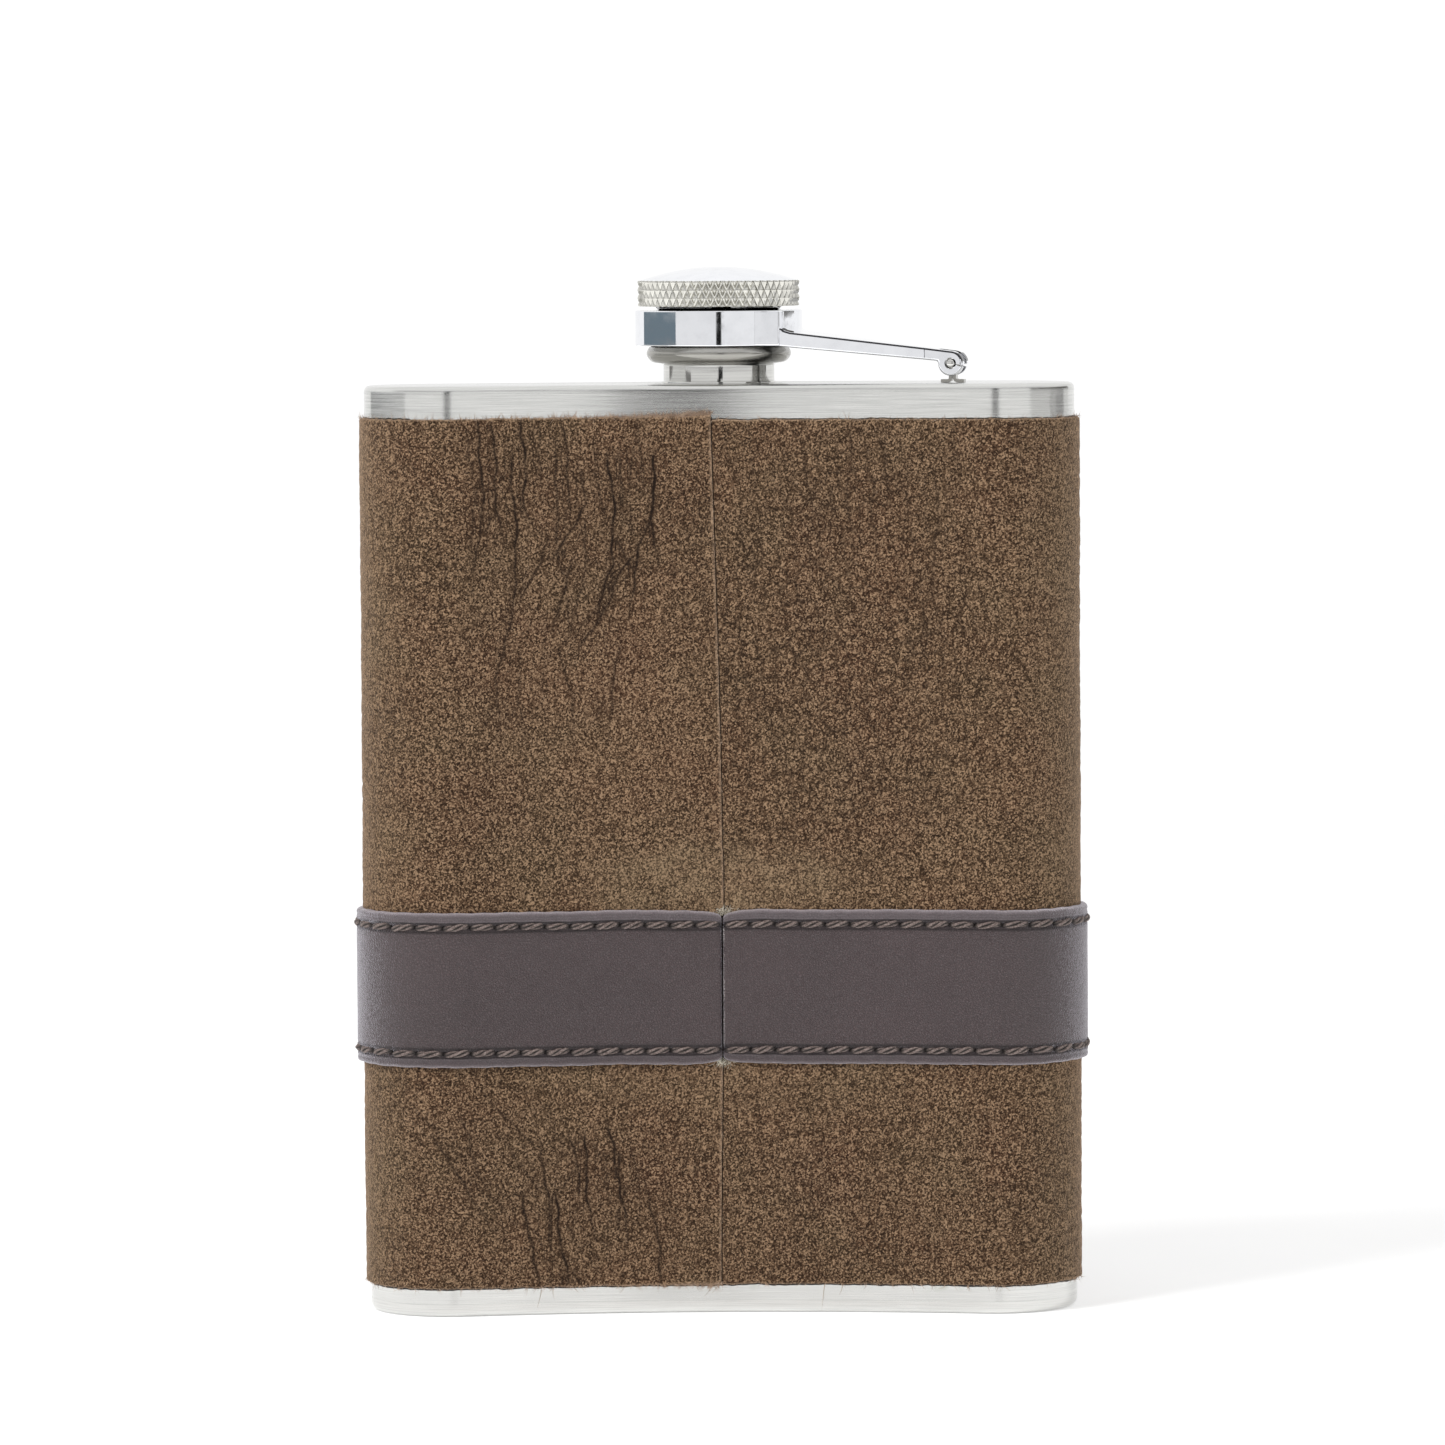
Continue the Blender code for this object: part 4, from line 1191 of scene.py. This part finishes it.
def stitches(name, z, seed, material, node):
    """One row of stitches: each is a short length of three-ply thread between two holes."""
    rng = np.random.default_rng(seed)
    t = np.linspace(0, 1, 19)
    starts = FIRST_HOLE + STITCH_STEP * np.arange(STITCHES)
    slack = 0.14 * MM
    length = STITCH_STEP - 2 * slack
    bow = np.sin(pi * t) ** 0.5
    sides, plies = 8, 3
    paths = []
    for start in starts:
        lean = rng.uniform(0.02, 0.26) * MM
        lift = rng.uniform(-0.04, 0.04) * MM
        s = start + slack + length * t
        centre_out = BAND_OUT - 0.50 * MM + (0.56 * MM + lift) * bow
        centre_z = z + lean * (2 * t - 1) + rng.uniform(-0.05, 0.05) * MM
        phase, turns = rng.uniform(0, 2 * pi), rng.uniform(0.45, 0.75)
        swell = 0.35 + 0.65 * bow
        for ply in range(plies):
            turn = phase + 2 * pi * (ply / plies + turns * t)
            out = centre_out + 0.17 * MM * np.cos(turn) * swell
            paths.append(on_flask(s, centre_z + 0.25 * MM * np.sin(turn) * swell, out))
    points, faces = tubes(np.array(paths), 0.215 * MM, sides, np.array([0, 0, 1.0]))
    obj = piece(name, points, faces, material, "vessel", "thread", node, tidy=False)
    shape = (STITCHES, plies, len(t))
    groove = ply_shade(points.reshape(*shape, sides, 3), np.array(paths).reshape(*shape, 3), t)
    paint(obj, "groove", groove)


def fibres(name, roots, ahead, length, seed, material, slot):
    """Short curly fibres from roots of (s, z, out), each starting out the way that ahead gives."""
    rng = np.random.default_rng(seed)
    count = len(roots)
    t = np.linspace(0, 1, 5)[None, :, None]
    reach = (length * rng.uniform(0.35, 1.0, count))[:, None, None]
    way = ahead + rng.normal(0, 0.55, (count, 3))
    way = (way / np.linalg.norm(way, axis=1, keepdims=True))[:, None]
    bend = rng.normal(0, 0.55, (count, 3))[:, None]
    local = roots[:, None] + reach * (way * t + bend * t * t)
    paths = on_flask(local[..., 0], local[..., 1], np.maximum(local[..., 2], 0.05 * MM))
    radius = 0.034 * MM * (1.15 - np.linspace(0, 1, 5))[None, :]
    points, faces = tubes(paths, radius, 4, np.array([0.31, 0.53, 0.79]))
    piece(name, points, faces, material, "vessel", slot, tidy=False)


def cut_edge_fibres(material, pale):
    """Loose fibres along the wrap's cut edges, down its seam and at the band's joint."""
    rng = np.random.default_rng(51)
    low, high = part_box("leather_wrap")[0].z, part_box("leather_wrap")[1].z
    groups = []
    for count, spread, at_top in ((900, 0, True), (900, 9 * MM, True), (700, 0, False),
                                  (260, 8 * MM, False)):
        if spread:
            x = -rng.exponential(spread, count)
        else:
            x = rng.uniform(-0.5, 0.5, count) * GIRTH
        top_shift, bottom_shift = edge_shift(x)
        edge, way = (high + top_shift, 1.0) if at_top else (low + bottom_shift, -1.0)
        roots = np.stack([x + seam_at(edge), edge - way * rng.uniform(0, 0.25, count) * MM,
                          rng.uniform(0.15, 0.68, count) * MM], -1)
        groups.append((roots, np.tile([0.0, way * 0.8, 0.35], (count, 1))))
    roots, ahead = [np.concatenate(part) for part in zip(*groups)]
    fibres("wrap_edge_fibres", roots, ahead, 0.68 * MM, 52, material, "nubuck")
    x = np.concatenate([rng.normal(-23.5, 1.2, 9), rng.normal(-1.6, 0.5, 14),
                        rng.uniform(-30, 34, 14)]) * MM
    roots = np.stack([x, low + 0 * x, rng.uniform(0.2, 0.6, len(x)) * MM], -1)
    fibres("hanging_fibres", roots, np.tile([0.1, -1.6, 0.2], (len(x), 1)), 1.3 * MM, 57, material,
           "nubuck")
    z = rng.uniform(low, high, 620)
    z = z[(z < BAND_LOW) | (z > BAND_HIGH)]
    side = rng.choice([-1.0, 1.0], len(z), p=[0.75, 0.25])
    roots = np.stack([seam_at(z) + side * 0.10 * MM, z, np.full(len(z), 0.66 * MM)], -1)
    ahead = np.stack([side * 0.4, 0 * z, 0.4 + 0 * z], -1)
    fibres("seam_fibres", roots, ahead, 0.24 * MM, 53, material, "nubuck")
    count = 260
    z = np.where(rng.random(count) < 0.55, BAND_HIGH - 0.35 * MM, BAND_LOW + 0.35 * MM)
    z = z + rng.normal(0, 0.28, count) * MM
    roots = np.stack([rng.normal(0.15, 0.62, count) * MM, z, rng.uniform(0.7, 1.2, count) * MM], -1)
    ahead = np.stack([0 * z, np.where(z > 0.5 * (BAND_LOW + BAND_HIGH), 0.5, -0.5), 0.5 + 0 * z], -1)
    fibres("joint_fibres", roots, ahead, 0.52 * MM, 58, pale, "smooth_leather")


# Stage

def camera():
    """A long lens a little above the cap, looking slightly down."""
    aside, distance, height = 0.2 * MM, 1130 * MM, 147.6 * MM
    down, roll = 3.5, -0.34
    data = bpy.data.cameras.new("camera")
    data.sensor_width, data.lens = 36, 210.1
    data.clip_start, data.clip_end = 0.05, 20
    obj = placed("camera", data)
    obj.location = (aside, -distance, height)
    obj.rotation_mode = "QUATERNION"
    tilt = Matrix.Rotation(radians(90 - down), 4, "X") @ Matrix.Rotation(radians(roll), 4, "Z")
    obj.rotation_quaternion = tilt.to_quaternion()
    bpy.context.scene.camera = obj


def light_table():
    """A pale round floor that glows a little, so that the flask's shadow stays faint."""
    radius, sides = 0.95, 128
    rim = round_points(radius, count=sides)
    floor = placed("floor", new_mesh("floor", [(x, y, 0) for x, y in rim], [range(sides)]))
    floor.location.z = -0.02 * MM
    finish = Finish("floor_paper", 0.9, Emission_Color=(1, 1, 1, 1), Emission_Strength=0.28)
    finish.drive("Base Color", finish.mix(finish.noise(finish.place(), 40, 3), (0.88, 0.88, 0.88),
                                          (0.92, 0.92, 0.92)))
    floor.data.materials.append(finish.material)


def panels(sky, azimuth, gap_from, gap_to):
    """Bright walls all round, with one dark gap between two azimuths in degrees."""
    # Each stop's azimuth in degrees, and how bright the wall is there
    walls = [(-180, 1.0), (-90, 1.0), (-60, 0.84), (gap_from - 0.8, 0.84), (gap_from, 0.01),
             (gap_to, 0.01), (gap_to + 0.8, 0.90), (80, 0.90), (110, 1.0), (180, 1.0)]
    ramp = sky.node("ValToRGB", {"Fac": azimuth})
    stops = ramp.color_ramp.elements
    while len(stops) < len(walls):
        stops.new(0.5)
    for stop, (degrees, level) in zip(stops, walls):
        stop.position = degrees / 360 + 0.5
        stop.color = (level, level, level, 1)
    return ramp.outputs[0]


def studio():
    """An evenly bright room, with the dark gaps that shiny parts reflect."""
    bpy.context.scene.view_settings.view_transform = "Standard"
    world = bpy.data.worlds.new("studio")
    bpy.context.scene.world = world
    world.use_nodes = True
    sky = Nodes(world.node_tree)
    ahead = sky.node("TexCoord", {}).outputs["Generated"]
    axes = sky.node("SeparateXYZ", {"Vector": ahead}).outputs
    height = axes["Z"]
    # Azimuth from the camera's side, 0 to 1 over -180 to 180 degrees, positive towards +X
    azimuth = sky.math("ARCTAN2", axes["X"], sky.math("MULTIPLY", axes["Y"], -1.0))
    azimuth = sky.math("MULTIPLY_ADD", azimuth, 1 / (2 * pi), 0.5)

    def clamped(value, scale, offset):
        """value * scale + offset, kept from 0 to 1."""
        scaled = sky.math("MULTIPLY_ADD", value, scale, offset)
        return sky.math("MINIMUM", sky.math("MAXIMUM", scaled, 0.0), 1.0)

    # Just below level, the gap stands nearer to -X
    level = sky.math("MULTIPLY", clamped(height, 400.0, 15.0), clamped(height, -400.0, 0.0))
    seen = sky.mix(level, panels(sky, azimuth, -0.8, 7.4), panels(sky, azimuth, -3.4, 2.8))
    # Brightest overhead, a grey strip up on the camera's side, and dark below
    seen = sky.mix(clamped(height, 3.0, -0.9), seen, (1.05, 1.05, 1.05))
    ceiling = sky.math("MULTIPLY", clamped(height, 12.0, -3.4), clamped(height, -12.0, 7.0))
    ceiling = sky.math("MULTIPLY", ceiling, clamped(axes["Y"], -5.0, -0.3))
    seen = sky.mix(ceiling, seen, (0.55, 0.55, 0.56))
    seen = sky.mix(clamped(height, -9.0, -0.7), seen, (0.22, 0.22, 0.23))
    # Matt surfaces get an even, dimmer light, and the camera sees white behind the flask
    rays = sky.node("LightPath", {}).outputs
    seen = sky.mix(rays["Is Diffuse Ray"], seen, (0.62, 0.62, 0.62))
    seen = sky.mix(rays["Is Camera Ray"], seen, (1.03, 1.03, 1.03))
    sky.tree.links.new(seen, sky.tree.nodes["Background"].inputs["Color"])


def flag(name, distance, near, far, low, high, tint):
    """A dark card beside the flask, which only its shiny parts see. near and far are azimuths
    from the camera's side in degrees."""
    points = [(distance, -abs(distance) / tan(radians(degrees)), z)
              for degrees, z in ((near, low), (far, low), (far, high), (near, high))]
    card = placed(name, new_mesh(name, points, [(0, 1, 2, 3)]))
    card.visible_camera = card.visible_diffuse = card.visible_shadow = False
    finish = Finish(name, 0.9, Specular_IOR_Level=0.0, Emission_Color=(*tint, 1), Emission_Strength=1.0)
    finish.drive("Base Color", finish.mix(finish.noise(finish.place(), 9, 2), (0.0, 0.0, 0.0),
                                          (0.01, 0.01, 0.01)))
    card.data.materials.append(finish.material)


def softbox(name, location, size, power):
    """A square light aimed at the flask's middle, which shiny parts don't see."""
    data = bpy.data.lights.new(name, "AREA")
    data.size, data.energy = size, power
    light = placed(name, data)
    light.location = location
    light.visible_glossy = False
    light.rotation_mode = "QUATERNION"
    aim = Vector((0, 0, 70 * MM)) - light.location
    light.rotation_quaternion = aim.to_track_quat("-Z", "Y")


def main():
    brushed = steel("brushed_steel", (0.72, 0.72, 0.70), 0.19, (90, 90, 9000), 0.010 * MM, 0.85, True)
    pressed = steel("pressed_steel", (0.72, 0.72, 0.70), 0.17, (90, 90, 9000), 0.010 * MM, 0.6, True)
    # Darker steel; on the neck's bead it is painted shade for the darker surroundings it reflects
    darker_steel = steel("darker_steel_finish", (0.40, 0.39, 0.36), 0.22, (60, 60, 5200), 0.020 * MM, 0.5)
    turned = steel("polished_steel", (0.72, 0.715, 0.69), 0.06, (60, 60, 7000), 0.0016 * MM, 0.5)
    knurl = steel("knurled_steel", (0.68, 0.67, 0.62), 0.15, (900, 900, 900), 0.008 * MM)
    chrome = chrome_finish()
    brown = nubuck()
    body_shell(brushed)
    shoulder(brushed)
    base(pressed)
    neck(turned, darker_steel)
    cap_core(turned)
    cap_head(chrome, knurl)
    cap_gasket(silicone_finish())
    # The collar's arm bevels get a painted dark reflection line
    collar(chrome, steel("arris_painted_reflection", (0.055, 0.055, 0.06), 0.25, (900, 900, 900), 0.004 * MM))
    bracket(darker_steel)
    pin(turned)
    leather_wrap(brown)
    shade_strip_line(shade_strip_finish())
    leather_band(smooth_leather())
    twist = thread_finish()
    stitches("stitches_lower", BAND_LOW + STITCH_INSET, 61, twist, "stitching_lower")
    stitches("stitches_upper", BAND_HIGH - STITCH_INSET, 62, twist, "stitching_upper")
    cut_edge_fibres(fibre_finish("cut_fibres", (0.20, 0.125, 0.078), (0.46, 0.33, 0.23)),
                    fibre_finish("pale_fibres", (0.30, 0.26, 0.20), (0.62, 0.58, 0.48)))
    camera()
    light_table()
    studio()
    flag("left_flag", -300 * MM, 61, 125, 122 * MM, 133.5 * MM, (0.150, 0.195, 0.225))
    flag("left_low_flag", -300 * MM, 60, 125, 100 * MM, 121.9 * MM, (0.24, 0.235, 0.23))
    flag("right_neck_flag", 300 * MM, 86, 115, 92 * MM, 109.5 * MM, (0.035, 0.030, 0.030))
    flag("right_rim_flag", 300 * MM, 96, 112, 110.5 * MM, 121 * MM, (0.36, 0.36, 0.37))
    flag("knurl_flag", 300 * MM, 56, 128, 130 * MM, 210 * MM, (0.09, 0.085, 0.075))
    softbox("key", (-0.75, -0.70, 0.85), 0.45, 11.0)
    softbox("fill", (0.80, -0.80, 0.55), 0.60, 4.0)


main()
